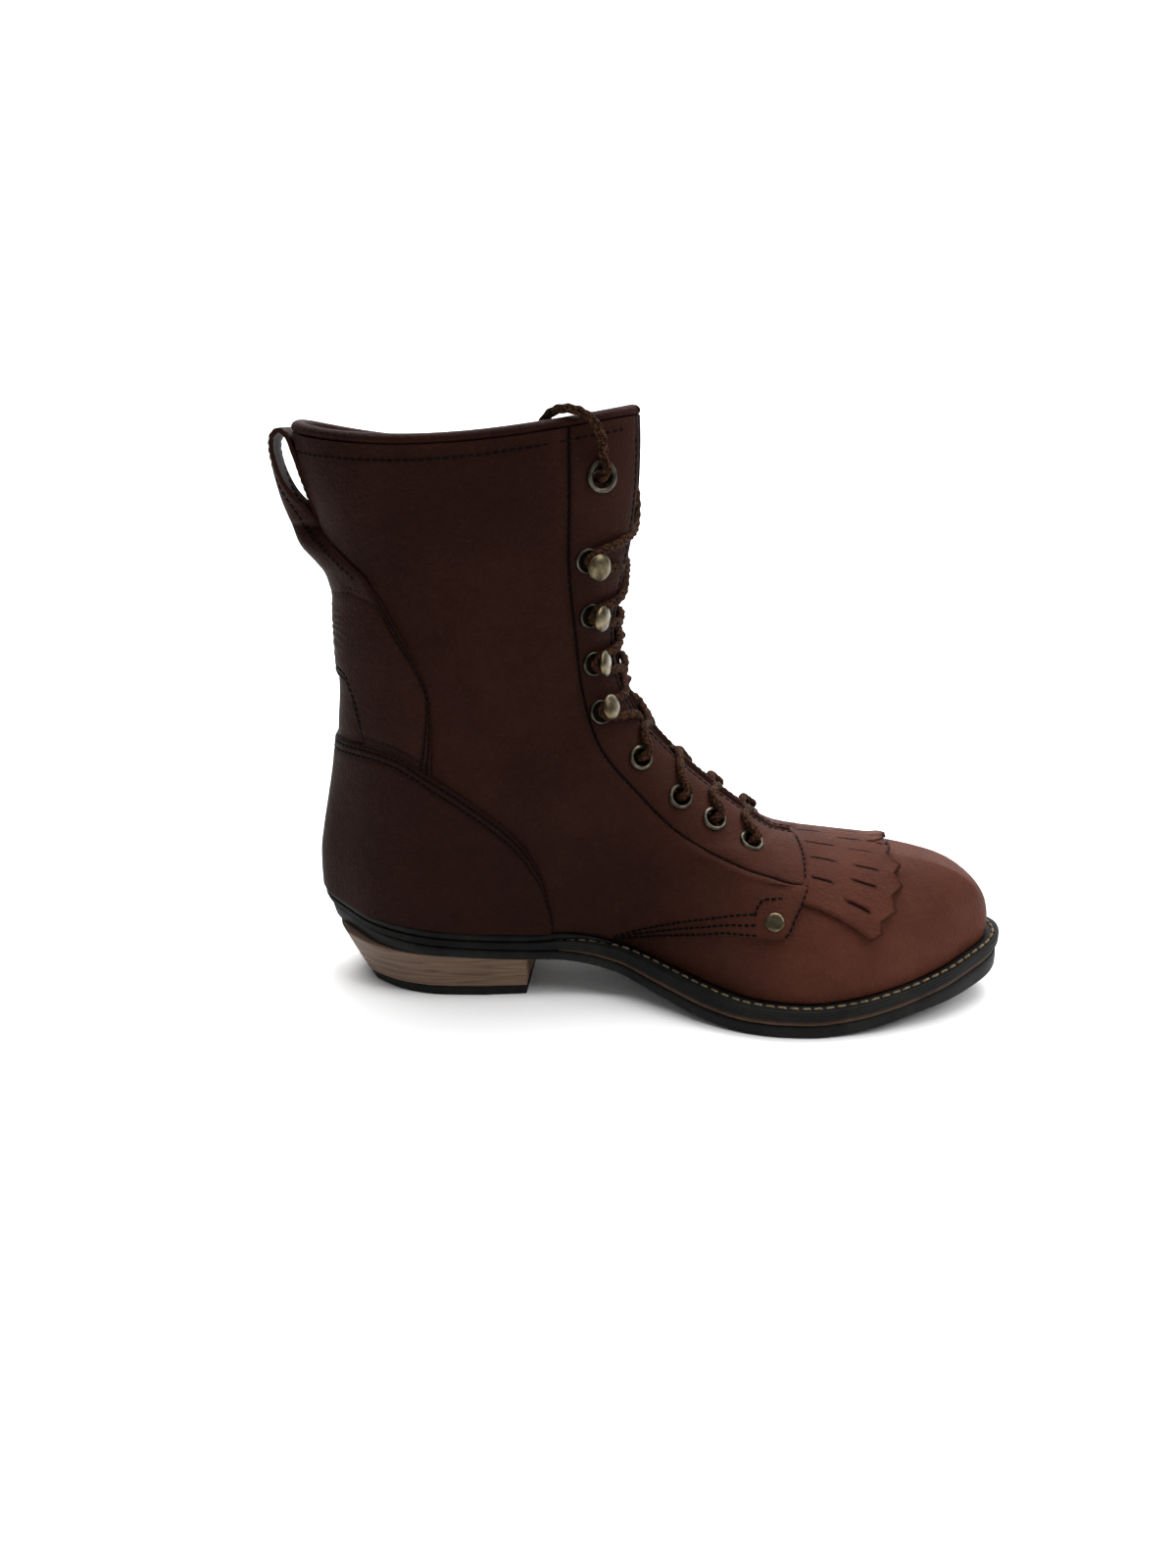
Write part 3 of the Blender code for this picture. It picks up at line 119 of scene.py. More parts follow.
# Sections of the sole's layers: (share of the height, inset), or (inset, drop from the top)
OUTSOLE_SECTION = (
    (0.0, 2.2), (0.0, 1.6), (0.05, 1.0), (0.14, 0.75), (0.3, 0.7),
    (0.55, 0.72), (0.75, 0.8), (0.86, 0.95), (0.95, 1.25), (1.0, 1.8),
)
MIDSOLE_SECTION = ((0.0, 2.4), (0.0, 1.5), (0.5, 1.25), (1.0, 1.5), (1.0, 2.4))
MIDSOLE_LAP = 0.2
WELT_FOOT = ((0.0, 1.2), (0.02, 0.55))
WELT_RIDGED = (0.08, 0.9)
WELT_SIDE_INSET = 0.1
WELT_LIP = ((0.96, 0.3), (1.0, 0.8))
WELT_TOP = (
    (1.3, 0.02), (1.9, 0.1), (2.5, WELT_GROOVE), (3.1, WELT_GROOVE), (3.7, 0.12),
    (4.6, 0.0), (6.0, 0.05), (8.0, 0.1), (WELT_WIDTH, 0.2),
)
RAND_SECTION = (
    (0.2, 0.0), (-0.05, 0.2), (-0.25, 0.5), (-0.1, 0.8), (0.3, 0.96),
    (0.9, 1.02), (1.8, 1.02), (RAND_WIDTH, 1.0), (RAND_WIDTH, 0.0),
)
RAND_LEAST = 0.5
RAND_LAP = 0.2
INSOLE_SECTION = ((14.5, 1.6), (14.6, 0.3), (15.2, 0.0), (22.0, -0.2))
INSOLE_RISE = 0.6
# Welt stitches: where they start, and their distance from the edge as (x, inset), further in at the waist
WELT_STITCH_START = 106.0
WELT_STITCH_LIFT = 0.12
WELT_STITCH_INSET = (
    (100.0, 2.6), (125.0, 4.0), (150.0, 6.6), (172.0, 6.4), (195.0, 4.4), (215.0, 3.1), (308.0, 2.9),
)

# Heel
HEEL_BREAST = 99.0
HEEL_INSET = 1.2
HEEL_BACK_BOTTOM = 22.4
HEEL_NARROW_MIDDLE = 0.93
HEEL_NARROW_BREAST = 0.87
HEEL_ROUND_SHARE = 0.42
HEEL_ROUNDNESS = 2.1
HEEL_WIDEST_X = 50.0
HEEL_BREAST_LEAN = 0.8
HEEL_WAIST_DEPTH = 0.4
TOPLIFT_HEIGHT = 4.6
TOPLIFT_DEPTH = 0.78
HEEL_STEPS = 60
HEEL_LAYERS = 6
HEEL_LAYER_GROOVE = 0.12
HEEL_LAYER_SECTION = ((0.02, HEEL_LAYER_GROOVE), (0.1, 0.0), (0.9, 0.0), (0.98, HEEL_LAYER_GROOVE))
HEEL_TOP_GAP = 0.05
HEEL_LOW_GAP = 0.1
HEEL_HALF_LENGTH = 42.0
TOPLIFT_SECTION = (
    (0.0, 1.0), (0.0, 0.5), (0.08, 0.12), (0.3, 0.0), (0.8, 0.0), (0.95, 0.1), (1.0, 0.4), (1.0, 1.2),
)

# Last: rings from the sole's edge to the collar
RING_COLUMNS = ("back_z", "front_x", "front_z")
RINGS = (
    (43.2, 301.8, 30.2),
    (45.6, 302.6, 36.0),
    (48.2, 301.6, 42.0),
    (51.2, 298.6, 48.2),
    (54.6, 293.2, 54.0),
    (58.4, 284.8, 59.0),
    (62.6, 273.0, 62.8),
    (67.2, 258.6, 65.6),
    (72.2, 241.4, 67.6),
    (77.8, 223.2, 69.0),
    (83.6, 206.5, 71.0),
    (90.0, 192.0, 80.2),
    (96.8, 178.0, 90.6),
    (104.0, 164.4, 102.2),
    (112.5, 152.4, 115.0),
    (122.0, 143.0, 128.6),
    (133.0, 137.4, 143.2),
    (146.0, 135.6, 159.0),
    (160.0, 137.2, 175.0),
    (175.0, 140.4, 192.0),
    (191.0, 143.2, 209.0),
    (208.0, 144.6, 225.0),
    (225.5, 145.0, 238.0),
    (241.0, 144.8, 247.6),
)
BACK_COLUMNS = ("z", "x")
BACK = (
    (38.0, 4.6),
    (48.0, 4.2),
    (58.0, 4.6),
    (70.0, 6.6),
    (85.0, 9.6),
    (104.0, 13.4),
    (120.0, 15.6),
    (137.0, 17.0),
    (157.0, 16.8),
    (175.0, 17.4),
    (188.0, 17.0),
    (204.0, 13.2),
    (222.0, 8.0),
    (244.0, 3.4),
)
WALL = 2.2
THROAT_ROW = 10.0
TOP_ROW = float(len(RINGS) - 1)
DOME_SIDE = 2.35
DOME_TOP = 1.9
SHAFT_COLUMNS = ("row", "half_width")
SHAFT = ((6.0, 35.0), (10.0, 35.0), (14.0, 34.5), (18.0, 35.0), (23.0, 37.0))
SHAFT_ROUNDNESS = 0.88
SHAFT_BACK_FULLNESS = 0.05
TOE_ROW = 2.0
FOOT_ROW = 7.0
SHAFT_ROW = 15.0
ANKLE_LOW = 42.0
ANKLE_HIGH = 125.0
ANKLE_FRONT = 205.0
ANKLE_BACK = 150.0
FEATHER_FADE_ROWS = 9.0
COLLAR_DIP = 7.0
COLLAR_DIP_OUTER = 10.0
COLLAR_DIP_ROW = 17.0
COLLAR_DIP_SKEW = 0.85
THROAT_COLUMNS = ("row", "half_gap")
THROAT = ((10.0, 0.0), (11.0, 3.6), (13.0, 4.8), (14.5, 7.4), (16.5, 10.0), (19.0, 9.0), (23.0, 10.0))

# Panels: how far their faces stand out from the last, and their edges seen from the side as (x, z)
QUARTER_OUT = 1.9
EYESTAY_OUT = 2.1
OVERLAY_OUT = 3.5
STAY_OUT = 3.1
KILTIE_OUT = 1.9
ROLL = 1.5
EYESTAY_SEAM_ROLL = 0.9
SKIRT = -0.5
EDGE_DROP = 0.4
GROOVE_HALF = 0.8
# Painted shade in the stitch channels: how far their colour is darkened
GROOVE_PAINTED_SHADE = 0.95
EDGE_BURNISH = 0.8
EDGE_BURNISH_REACH = 1.3
QUARTER_PUFF = (("right", 6.5, 0.7, 5.0),)
# Soft unevenness of the panels as (size, height, phase), and the distance from an edge over which it starts
SHELL_WAVES = (46.0, 0.18, 0.0)
QUARTER_WAVES = (60.0, 0.35, 0.4)
QUARTER_WAVES_START = 12.0
FACING_WAVES = (40.0, 0.15, 1.4)
FACING_WAVES_START = 8.0
COUNTER_WAVES = (42.0, 0.2, 2.0)
COUNTER_WAVES_START = 10.0
STAY_WAVES = (34.0, 0.25, 3.0)
TONGUE_WAVES = (30.0, 0.3, 0.7)
KILTIE_WAVES = (26.0, 0.2, 1.0)
# The shell is smoothed along the middle of the toe, from a place forward
TOE_EASE_START = 214.0
TOE_EASE_HALF = 9.0
TOE_EASE_ROUNDS = 24
EDGE_LADDER = (0.0, 0.12, 0.5, 1.0, 1.6, 2.2, 2.8, 3.5, 4.3, 5.2, 6.4, 8.0, 10.0, 12.5)
COUNTER_FOOT = 0.4
COUNTER_EDGE = (
    (13.0, 113.6),
    (30.0, 114.4),
    (43.0, 112.6),
    (60.4, 103.8),
    (84.8, 87.3),
    (96.6, 76.0),
    (104.6, 62.0),
    (108.4, 45.5),
    (109.8, 36.0),
)
STRAP_MIDDLE_Z = 160.0
STRAP_LAP = 1.5
STAY_STITCHES = (2.6, 5.4)
STAY_STITCH_TOP = 174.0
STAY_STITCH_CLEAR = 1.0
COUNTER_STITCHES = (2.4, 5.6)
OVERLAY_GROOVE = 0.5
ARCH_STITCHES = (2.2, 4.6)
FACING_STITCHES = 2.4
FINE_GROOVE = 0.3
SEAM_STITCHES = 0.5
STAY_FOLD_PITCH = 3.4
STAY_FOLD_HEIGHT = 0.14
STAY_FOLD_WAVES = (17.0, 2.2, 0.9)
STAY_FOLD_X = 18.0
STAY_FOLD_HALF = 9.0
STAY_FOLD_START = 8.0
STRAP_TOP_EDGE = (
    (16.0, 183.0),
    (28.0, 184.0),
    (39.5, 180.6),
    (49.5, 165.4),
    (56.5, 152.5),
    (60.0, 143.0),
    (61.0, 138.0),
)
STRAP_ARCH_EDGE = (
    (16.0, 141.5),
    (24.3, 138.8),
    (28.0, 130.0),
    (30.5, 119.8),
    (31.6, 115.6),
)
EYESTAY_SEAM = (
    (117.9, 243.5),
    (117.9, 219.3),
    (117.6, 187.0),
    (119.5, 162.6),
    (122.7, 136.8),
    (130.3, 114.3),
    (145.5, 95.3),
    (165.5, 76.6),
    (189.7, 65.2),
    (202.4, 60.8),
    (213.5, 58.2),
    (219.3, 58.0),
)
# Front edge of the quarter up from its low corner
QUARTER_FRONT = ((208.6, 39.6), (211.4, 42.6), (213.3, 46.9), (216.8, 53.0), (219.3, 58.0))
# Front edge of the facing over the instep as (x, distance from y 0)
FACING_FRONT = ((219.9, 32.7), (220.0, 25.0), (218.7, 14.7), (216.8, 5.0), (215.4, 0.4))
QUARTER_FOOT = (
    (137.0, 25.8),
    (147.0, 27.6),
    (158.0, 30.2),
    (168.5, 33.0),
    (178.0, 35.8),
    (186.3, 38.0),
    (196.0, 38.6),
    (204.1, 38.8),
    (208.6, 39.6),
)
FOOT_STITCH_TOP = ((136.1, 27.9), (147.0, 31.4), (159.9, 36.8), (176.5, 43.3), (192.8, 47.9), (201.7, 48.9))
FOOT_STITCH_SHARES = (0.2, 0.6, 1.0)
FOOT_STITCH_END = 202.5
FOOT_STITCH_LIFT = 0.05
COLLAR_STITCH_ROW = 22.55
COLLAR_STITCH_ENDS = (0.12, 0.1)
COLLAR_STITCH_LIFT = 0.1
TONGUE_ROWS = (9.2, 22.9)
TONGUE_HALF_TURN = 0.62
TONGUE_IN = 3.6
TONGUE_THICK = 1.8
RIVET_STITCH = ((196.8, 47.4), (197.4, 50.4), (199.4, 53.2), (205.0, 53.8), (216.4, 54.2))

# Pull loop and binding
# Pull loop as (x, z, near, far, half width)
LOOP = (
    (16.4, 170.0, 26.4, 26.4, 31.0),
    (14.6, 177.6, 25.4, 25.4, 29.5),
    (12.6, 184.0, 24.2, 24.2, 27.2),
    (8.6, 188.9, 22.2, 22.2, 24.2),
    (3.2, 194.2, 21.2, 20.0, 20.0),
    (-0.2, 200.4, 16.6, 14.0, 14.0),
    (-2.4, 206.5, 13.0, 9.0, 12.0),
    (-3.9, 210.5, 11.2, 6.0, 11.5),
    (-5.2, 215.5, 7.6, 2.5, 11.5),
    (-6.3, 222.0, 4.6, 0.0, 11.5),
    (-7.1, 229.0, 3.2, -1.5, 11.5),
    (-7.2, 235.0, 2.4, -2.0, 11.5),
    (-5.8, 239.4, 1.8, -1.5, 11.5),
    (-2.4, 241.2, 1.2, -0.5, 11.5),
    (0.6, 239.0, 1.0, 0.5, 11.5),
    (2.8, 232.6, 1.2, 1.2, 11.5),
    (5.2, 223.0, 1.8, 1.8, 11.5),
    (8.0, 213.5, 2.2, 2.2, 11.5),
    (10.4, 205.5, 2.4, 2.4, 11.5),
)
LOOP_STEPS = 110
LOOP_SHARES = 31
LOOP_HALF_WIDTH = 11.5
LOOP_STITCHES = 2.6
LOOP_STITCH_START = 12
LOOP_STITCH_HEIGHT = 0.8
LOOP_GROOVE = 0.3
LOOP_ROUNDING = 0.5
LOOP_THICK = 1.9
LOOP_BOW_POWER = 2.3
LOOP_LEAVES = (199.0, 206.0)
# Distance of the strap's edges from the last, where it lies on the shaft, by height
LOOP_EDGE_OUT = ((170.0, 1.2), (178.0, 3.2), (200.0, 3.2))
BINDING_RADIUS = 2.3
BINDING_EXTRA_WIDTH = 0.7
BINDING_SINK = 0.6
BINDING_SIDES = 20
BINDING_END = 0.02

# Kiltie: levels of its rear edge and two rows of slits, by the distance from y 0, and its cut front edge
KILTIE_COLUMNS = ("across", "rear", "first", "first_end", "second", "second_end")
KILTIE = (
    (0.0, 213.0, 215.4, 226.0, 231.5, 241.0),
    (13.0, 216.0, 218.9, 230.6, 237.4, 246.0),
    (23.0, 217.0, 220.6, 230.0, 239.5, 248.2),
    (33.0, 217.0, 220.6, 228.0, 236.6, 245.5),
    (40.0, 214.8, 219.0, 223.5, 233.5, 242.0),
    (42.6, 214.0, 217.5, 222.0, 231.0, 239.0),
)
KILTIE_TEETH = (
    (0.0, 254.6),
    (3.6, 251.6),
    (8.1, 256.0),
    (14.5, 253.0),
    (18.9, 258.5),
    (23.0, 255.0),
    (26.8, 258.3),
    (30.9, 253.2),
    (34.6, 254.8),
    (38.3, 248.4),
    (40.4, 248.7),
    (42.6, 244.1),
)
KILTIE_SLITS = {"first": (0.0, 13.0, 23.0, 33.0), "second": (5.0, 13.5, 23.0, 29.6, 37.4)}
KILTIE_SLIT_HALF = 0.18
KILTIE_RIDGE_HALF = 7.0
KILTIE_NARROWING = 0.0029
KILTIE_STEPS = (3, 5, 4, 5, 6)
KILTIE_ACROSS = 80
KILTIE_LEAST_STEP = 0.6
KILTIE_TIP_LIFT = 1.0
KILTIE_THICK = 1.5
SLIT_BANDS = {"first": 1, "second": 3}

# Hardware, seen from the side, from the lowest row up
EYELET_PLACES = ((194.5, 72.0), (178.5, 81.6), (163.8, 91.3), (146.4, 108.4))
HOOK_PLACES = ((131.0, 129.0), (127.4, 149.4), (126.4, 169.9), (125.8, 192.5))
TOP_EYELET_PLACE = (129.7, 224.4)
EYELET_SCALE = 0.92
TOP_EYELET_SCALE = 1.1
RIVET_PLACE = (204.9, 45.8)
TURNED_SIDES = 36
EYELET_PROFILE = (
    (5.85, -0.4),
    (5.85, 0.3),
    (5.6, 0.75),
    (5.1, 1.0),
    (4.6, 0.95),
    (4.15, 0.65),
    (3.85, 0.2),
    (3.75, -0.6),
    (3.7, -4.6),
)
HOLE_RADIUS = 3.9
HOLE_DEPTH = 8.0
METAL_LIFT = 0.3
RIVET_LIFT = 0.1
NECK_SIDES = 20
HOOK_BASE_PROFILE = (
    (5.1, -0.4),
    (5.1, 0.35),
    (4.85, 0.7),
    (4.4, 0.8),
    (4.0, 0.6),
    (3.7, 0.3),
    (1.0, 0.25),
    (0.0, 0.25),
)
HOOK_BASE_BACK = 2.0
HOOK_TILTS = (24.0, 34.0, 24.0, 8.0)
HOOK_RISES = (1.4, 0.0, -0.8, -2.4)
HOOK_NECK = ((0.2, 1.6, 0.0), (1.2, 1.3, 0.2), (2.8, 1.3, 0.6), (4.0, 2.2, 0.8))
HOOK_CAP_PROFILE = (
    (0.0, -0.2),
    (3.0, -0.2),
    (4.9, -0.35),
    (5.4, -0.15),
    (5.5, 0.2),
    (5.25, 0.65),
    (4.5, 1.15),
    (3.2, 1.6),
    (1.7, 1.85),
    (0.0, 1.92),
)
HOOK_CAP_LIFT = 4.2
HOOK_CAP_FORWARD = 0.8
RIVET_PROFILE = ((4.0, -0.3), (4.0, 0.4), (3.75, 0.75), (3.2, 0.95), (2.2, 1.15), (1.0, 1.25), (0.0, 1.27))

# Laces
LACE_RADIUS = 1.7
LACE_SWELL = (1.06, 0.13)
LACE_TWIST_PITCH = 7.0
LACE_STRANDS = 3
LACE_SIDES = 12
LACE_STEP = 0.7
# Course of the lace at an eyelet or hook, as distances forward, along and out from its place
LACE_LEAVE = (
    (0.0, 0.0, 0.6), (1.2, 0.2, 3.6), (3.6, 1.8, 5.0), (5.4, 5.0, 5.0), (7.0, 8.6, 4.6), (9.2, 12.0, 4.2),
)
LACE_REACH = ((13.0, -2.5, -2.8), (9.0, -1.8, -4.0), (4.0, -0.8, -4.0), (1.0, -0.2, -3.4))
LACE_HOOK = (
    (12.0, -5.2, 3.4), (8.0, -4.4, 4.2), (3.0, -3.6, 4.4), (-0.6, -2.4, 4.4), (-2.4, 0.0, 4.4),
    (-0.6, 2.4, 4.4), (3.0, 3.6, 4.4), (8.0, 4.4, 4.2), (12.0, 5.2, 3.4),
)
LACE_TOP = (0.2, 0.0, 3.2)
LACE_TOP_RISE = (0.8, 3.0, 5.2)
# Crossings: height of the upper and the lower strand over the throat, and share of the way up
CROSSINGS = {"eyelet": (2.0, -1.6, 0.85), "hook": (0.6, -3.0, 0.5), "top": (0.6, -3.0, 0.25)}
LACE_CROSSES = 8
LACE_END_ROUTE = (
    (131.6, -27.4, 231.5),
    (131.6, -29.4, 235.5),
    (130.8, -31.2, 240.0),
    (128.6, -32.0, 244.4),
    (124.6, -31.4, 247.8),
    (119.0, -29.8, 249.6),
    (113.6, -27.6, 249.2),
    (109.2, -25.2, 246.4),
    (106.8, -23.0, 241.5),
    (105.6, -21.6, 235.5),
    (105.2, -21.0, 228.5),
)

# Stage, in metres: the floor sweeps up behind the boot; lights are (name, place, size, power, aim)
SWEEP_START = 1.4
SWEEP_RADIUS = 0.6
WALL_HEIGHT = 4.0
FLOOR_REACH = 5.0
WORLD_STRENGTH = 0.28
LIGHTS = (
    ("top", (0.2, 0.75, 2.4), 3.0, 108.0, (0.2, 0.75, 0.0)),
    ("toe", (0.95, -0.3, 0.9), 0.6, 7.0, (0.12, 0.0, 0.05)),
    ("wall", (0.0, 0.9, 1.9), 2.0, 60.0, (0.0, 2.0, 0.4)),
)

# Painted shade: the leather's colour darkens from the toe to the shaft, between these places along the foot
# in metres
PAINTED_SHADE_SPAN = (-0.035, 0.115)

# Stitches as (pitch, length, radius)
SEAM_STITCH = (3.0, 2.4, 0.54)
FACING_STITCH = (3.0, 2.3, 0.54)
OVERLAY_STITCH = (2.8, 2.2, 0.54)
COLLAR_STITCH = (3.2, 2.5, 0.54)
WELT_STITCH = (5.0, 3.8, 0.6)
STITCH_SINK = 0.15
WELT_STITCH_SINK = 0.3
STITCH_RINGS = ((-0.5, 0.45), (-0.38, 0.9), (0.0, 1.0), (0.38, 0.9), (0.5, 0.45))
STITCH_SIDES = 6
STITCH_END_DIP = 0.75

# Materials: colours from dark to light, noises as (scale, detail, roughness),
# bumps as (distance, strength)
BROWN = ((0.045, 0.0143, 0.0091), (0.061, 0.0196, 0.0122), (0.080, 0.0261, 0.0161))
DARK_BROWN = ((0.040, 0.0126, 0.0083), (0.054, 0.0170, 0.0109), (0.070, 0.0222, 0.0139))
LINING = ((0.035, 0.012, 0.007), (0.05, 0.017, 0.010), (0.07, 0.025, 0.014))
TAN = ((0.18, 0.10, 0.05), (0.24, 0.135, 0.07), (0.30, 0.17, 0.09))
LEATHER_STOPS = (0.28, 0.5, 0.74)
LEATHER_ROUGHNESS = (0.5, 0.66)
LINING_ROUGHNESS = (0.6, 0.75)
MATT_ROUGHNESS = (0.6, 0.8)
LEATHER_GLOSS = 0.035
LEATHER_CLOUD = (22.0, 5.0, 0.6)
LEATHER_PEBBLE = 950.0
LEATHER_PORES = (2200.0, 3.0, 0.6)
LEATHER_WRINKLE = (190.0, 5.0, 0.65)
LEATHER_FLECK = (420.0, 3.0, 0.6)
LEATHER_FLECK_SPAN = (0.86, 1.14)
PORE_SHARE = 0.5
WRINKLE_SHARE = 1.3
LEATHER_BUMP = (0.0004, 0.75)
# Colour of burnished edges and of the painted shade in stitch channels, as a share of the darkest colour
BURNISH_AND_SHADE_DARK = 0.35
# Painted shade: how far each leather's colour is darkened at the shaft
SHAFT_PAINTED_SHADE = 0.26
LINING_PAINTED_SHADE = 0.5
NO_PAINTED_SHADE = 1.0
BLACK = ((0.004, 0.004, 0.004), (0.013, 0.013, 0.012))
WELT_BLACK = ((0.003, 0.003, 0.003), (0.010, 0.010, 0.009))
FIBRE = ((0.04, 0.022, 0.014), (0.085, 0.048, 0.03))
RUBBER_ROUGHNESS = (0.5, 0.7)
RUBBER_STOPS = (0.38, 0.72)
RUBBER_GLOSS = 0.09
RUBBER_DUST = (60.0, 6.0, 0.65)
RUBBER_GRAIN = (1500.0, 4.0, 0.6)
RUBBER_BUMP = (0.0002, 0.25)
STACK_BANDS = (260.0, 1.5, 0.5)
STACK_STREAKS = (1500.0, 4.0, 0.7)
STACK_STRETCH = (0.05, 0.05, 1.0)
STACK_COLOURS = (
    (0.30, (0.045, 0.022, 0.011)),
    (0.36, (0.105, 0.055, 0.029)),
    (0.46, (0.135, 0.078, 0.044)),
    (0.50, (0.060, 0.031, 0.016)),
    (0.54, (0.115, 0.060, 0.031)),
    (0.64, (0.140, 0.082, 0.048)),
    (0.68, (0.050, 0.025, 0.013)),
    (0.72, (0.110, 0.060, 0.033)),
)
STREAK_COLOUR = (0.075, 0.035, 0.018)
STREAK_SHARE = 0.3
STACK_BASE_ROUGHNESS = 0.45
STACK_ROUGHNESS = (0.3, 0.55)
STACK_GLOSS = 0.3
STACK_COAT = 0.1
STACK_BUMP = (0.0002, 0.3)
COAT_ROUGHNESS = 0.35
BRASS = ((0.045, 0.035, 0.02), (0.15, 0.122, 0.074))
BRASS_ROUGHNESS = (0.26, 0.42)
DARK_BRASS = ((0.026, 0.023, 0.018), (0.10, 0.09, 0.066))
DARK_BRASS_ROUGHNESS = (0.3, 0.5)
METAL_STOPS = (0.36, 0.66)
METAL_TARNISH = (260.0, 5.0, 0.6)
METAL_SCRATCHES = (900.0, 4.0, 0.6)
METAL_BUMP = (0.0001, 0.2)
METAL_GLOSS = 0.5
LACE_YARN = ((0.004, 0.002, 0.0013), (0.062, 0.024, 0.010))
SEAM_THREAD = ((0.001, 0.0007, 0.0006), (0.004, 0.0022, 0.0018))
WELT_THREAD = ((0.09, 0.062, 0.034), (0.24, 0.18, 0.11))
YARN_STOPS = (0.44, 0.64)
YARN_FLECK = (900.0, 3.0, 0.7)
YARN_FIBRES = (2600.0, 2.0, 0.6)
YARN_ROUGHNESS = 0.85
YARN_GLOSS = 0.06
YARN_BUMP = (0.0002, 0.4)
FLOOR_COLOUR = (0.86, 0.86, 0.86, 1.0)
FLOOR_ROUGHNESS = 0.9
FLOOR_GLOSS = 0.1


def to_frame(points):
    """Millimetres in the modelling frame to metres in the finished frame."""
    return (np.asarray(points, float) - CENTRE) * MM


def column(table, columns, name):
    """One named column of a table."""
    return np.array([row[columns.index(name)] for row in table], float)


def smooth(xs, ys):
    """Monotone cubic curve through the points, as a function that holds its end values."""
    xs = np.asarray(xs, float)
    ys = np.asarray(ys, float)
    step = np.diff(xs)
    slope = np.diff(ys) / step
    product = slope[:-1] * slope[1:]
    total = np.where(product > 0, slope[:-1] + slope[1:], 1.0)
    tangent = np.concatenate(([slope[0]], np.where(product > 0, 2 * product / total, 0.0), [slope[-1]]))

    def at(x):
        x = np.clip(np.asarray(x, float), xs[0], xs[-1])
        i = np.clip(np.searchsorted(xs, x, side="right") - 1, 0, len(xs) - 2)
        u = (x - xs[i]) / step[i]
        rise = step[i] * (u * (1 - u) ** 2 * tangent[i] - u * u * (1 - u) * tangent[i + 1])
        return ys[i] * (1 + 2 * u) * (1 - u) ** 2 + ys[i + 1] * u * u * (3 - 2 * u) + rise

    return at


def ease(low, high, value):
    """Smooth step from 0 at low to 1 at high."""
    u = np.clip((value - low) / (high - low), 0.0, 1.0)
    return u * u * (3 - 2 * u)


def run_length(points):
    """Length along a row of points, from its start to each of them."""
    steps = np.linalg.norm(np.diff(points, axis=0), axis=-1)
    return np.concatenate(([0.0], np.cumsum(steps)))


def spline(points, count):
    """Smooth curve through points, as evenly spread points."""
    points = np.asarray(points, float)
    at = run_length(points)
    fine = np.linspace(0, at[-1], count * 8)
    dense = np.column_stack([cubic(at, points[:, k], fine) for k in range(points.shape[1])])
    run = run_length(dense)
    even = np.linspace(0, run[-1], count)
    return np.column_stack([np.interp(even, run, dense[:, k]) for k in range(points.shape[1])])


def cubic(at, values, fine):
    """Catmull-Rom curve through values at increasing places."""
    slope = np.gradient(values, at)
    i = np.clip(np.searchsorted(at, fine, side="right") - 1, 0, len(at) - 2)
    step = at[i + 1] - at[i]
    u = (fine - at[i]) / step
    ends = values[i] * (1 + 2 * u) * (1 - u) ** 2 + values[i + 1] * u * u * (3 - 2 * u)
    return ends + step * (u * (1 - u) ** 2 * slope[i] - u * u * (1 - u) * slope[i + 1])


# Curves of the sole and the last

PLAN_X = column(PLAN, PLAN_COLUMNS, "x")
SOLE_X = column(SOLE, SOLE_COLUMNS, "x")
sole_bottom = smooth(SOLE_X, column(SOLE, SOLE_COLUMNS, "bottom"))
outsole_thick = smooth(SOLE_X, column(SOLE, SOLE_COLUMNS, "outsole"))
midsole_thick = smooth(SOLE_X, column(SOLE, SOLE_COLUMNS, "midsole"))
welt_thick = smooth(SOLE_X, column(SOLE, SOLE_COLUMNS, "welt"))
rand_thick = smooth(SOLE_X, column(SOLE, SOLE_COLUMNS, "rand"))


def fullness(side):
    """Half width over the sine of the end-to-end angle, which is smooth right to both rounded ends."""
    angle = np.arccos(1 - 2 * PLAN_X / SOLE_LENGTH)
    middle = column(PLAN, PLAN_COLUMNS, side) / np.sin(angle)
    back = math.sqrt(PLAN_BACK_RADIUS * SOLE_LENGTH / 2)
    toe = math.sqrt(PLAN_TOE_RADIUS * SOLE_LENGTH / 2)
    return smooth(np.concatenate(([0.0], angle, [math.pi])), np.concatenate(([back], middle, [toe])))


FULLNESS = {-1: fullness("inner"), 1: fullness("outer")}
BARE = {
    -1: smooth(PLAN_X, column(PLAN, PLAN_COLUMNS, "bare_inner")),
    1: smooth(PLAN_X, column(PLAN, PLAN_COLUMNS, "bare_outer")),
}


def sole_edge(angles, side, inset=0.0):
    """Plan points of the sole's edge on one side, drawn in by a distance along its normal."""
    step = 1e-4

    def point(angle):
        x = SOLE_LENGTH * (1 - np.cos(angle)) / 2
        return np.stack([x, side * FULLNESS[side](np.clip(angle, 0, math.pi)) * np.sin(angle)], axis=-1)

    here = point(angles)
    along = point(angles + step) - point(angles - step)
    along /= np.linalg.norm(along, axis=-1, keepdims=True)
    normal = np.stack([-along[..., 1], along[..., 0]], axis=-1) * side
    return here - normal * np.asarray(inset)[..., None] * np.ones_like(here)


def upper_plan(side):
    """Half width of the upper at the sole's edge, as a function of x."""
    angles = np.linspace(0, math.pi, 361)
    x = SOLE_LENGTH * (1 - np.cos(angles)) / 2
    points = sole_edge(angles, side, BARE[side](x))
    low, high = points[0, 0], points[-1, 0]
    inner_angle = np.arccos(np.clip(1 - 2 * (points[:, 0] - low) / (high - low), -1, 1))
    keep = slice(4, -4)
    ratio = side * points[keep, 1] / np.sin(inner_angle[keep])

    def at(px):
        angle = np.arccos(np.clip(1 - 2 * (px - low) / (high - low), -1, 1))
        return np.interp(angle, inner_angle[keep], ratio) * np.sin(angle)

    return at


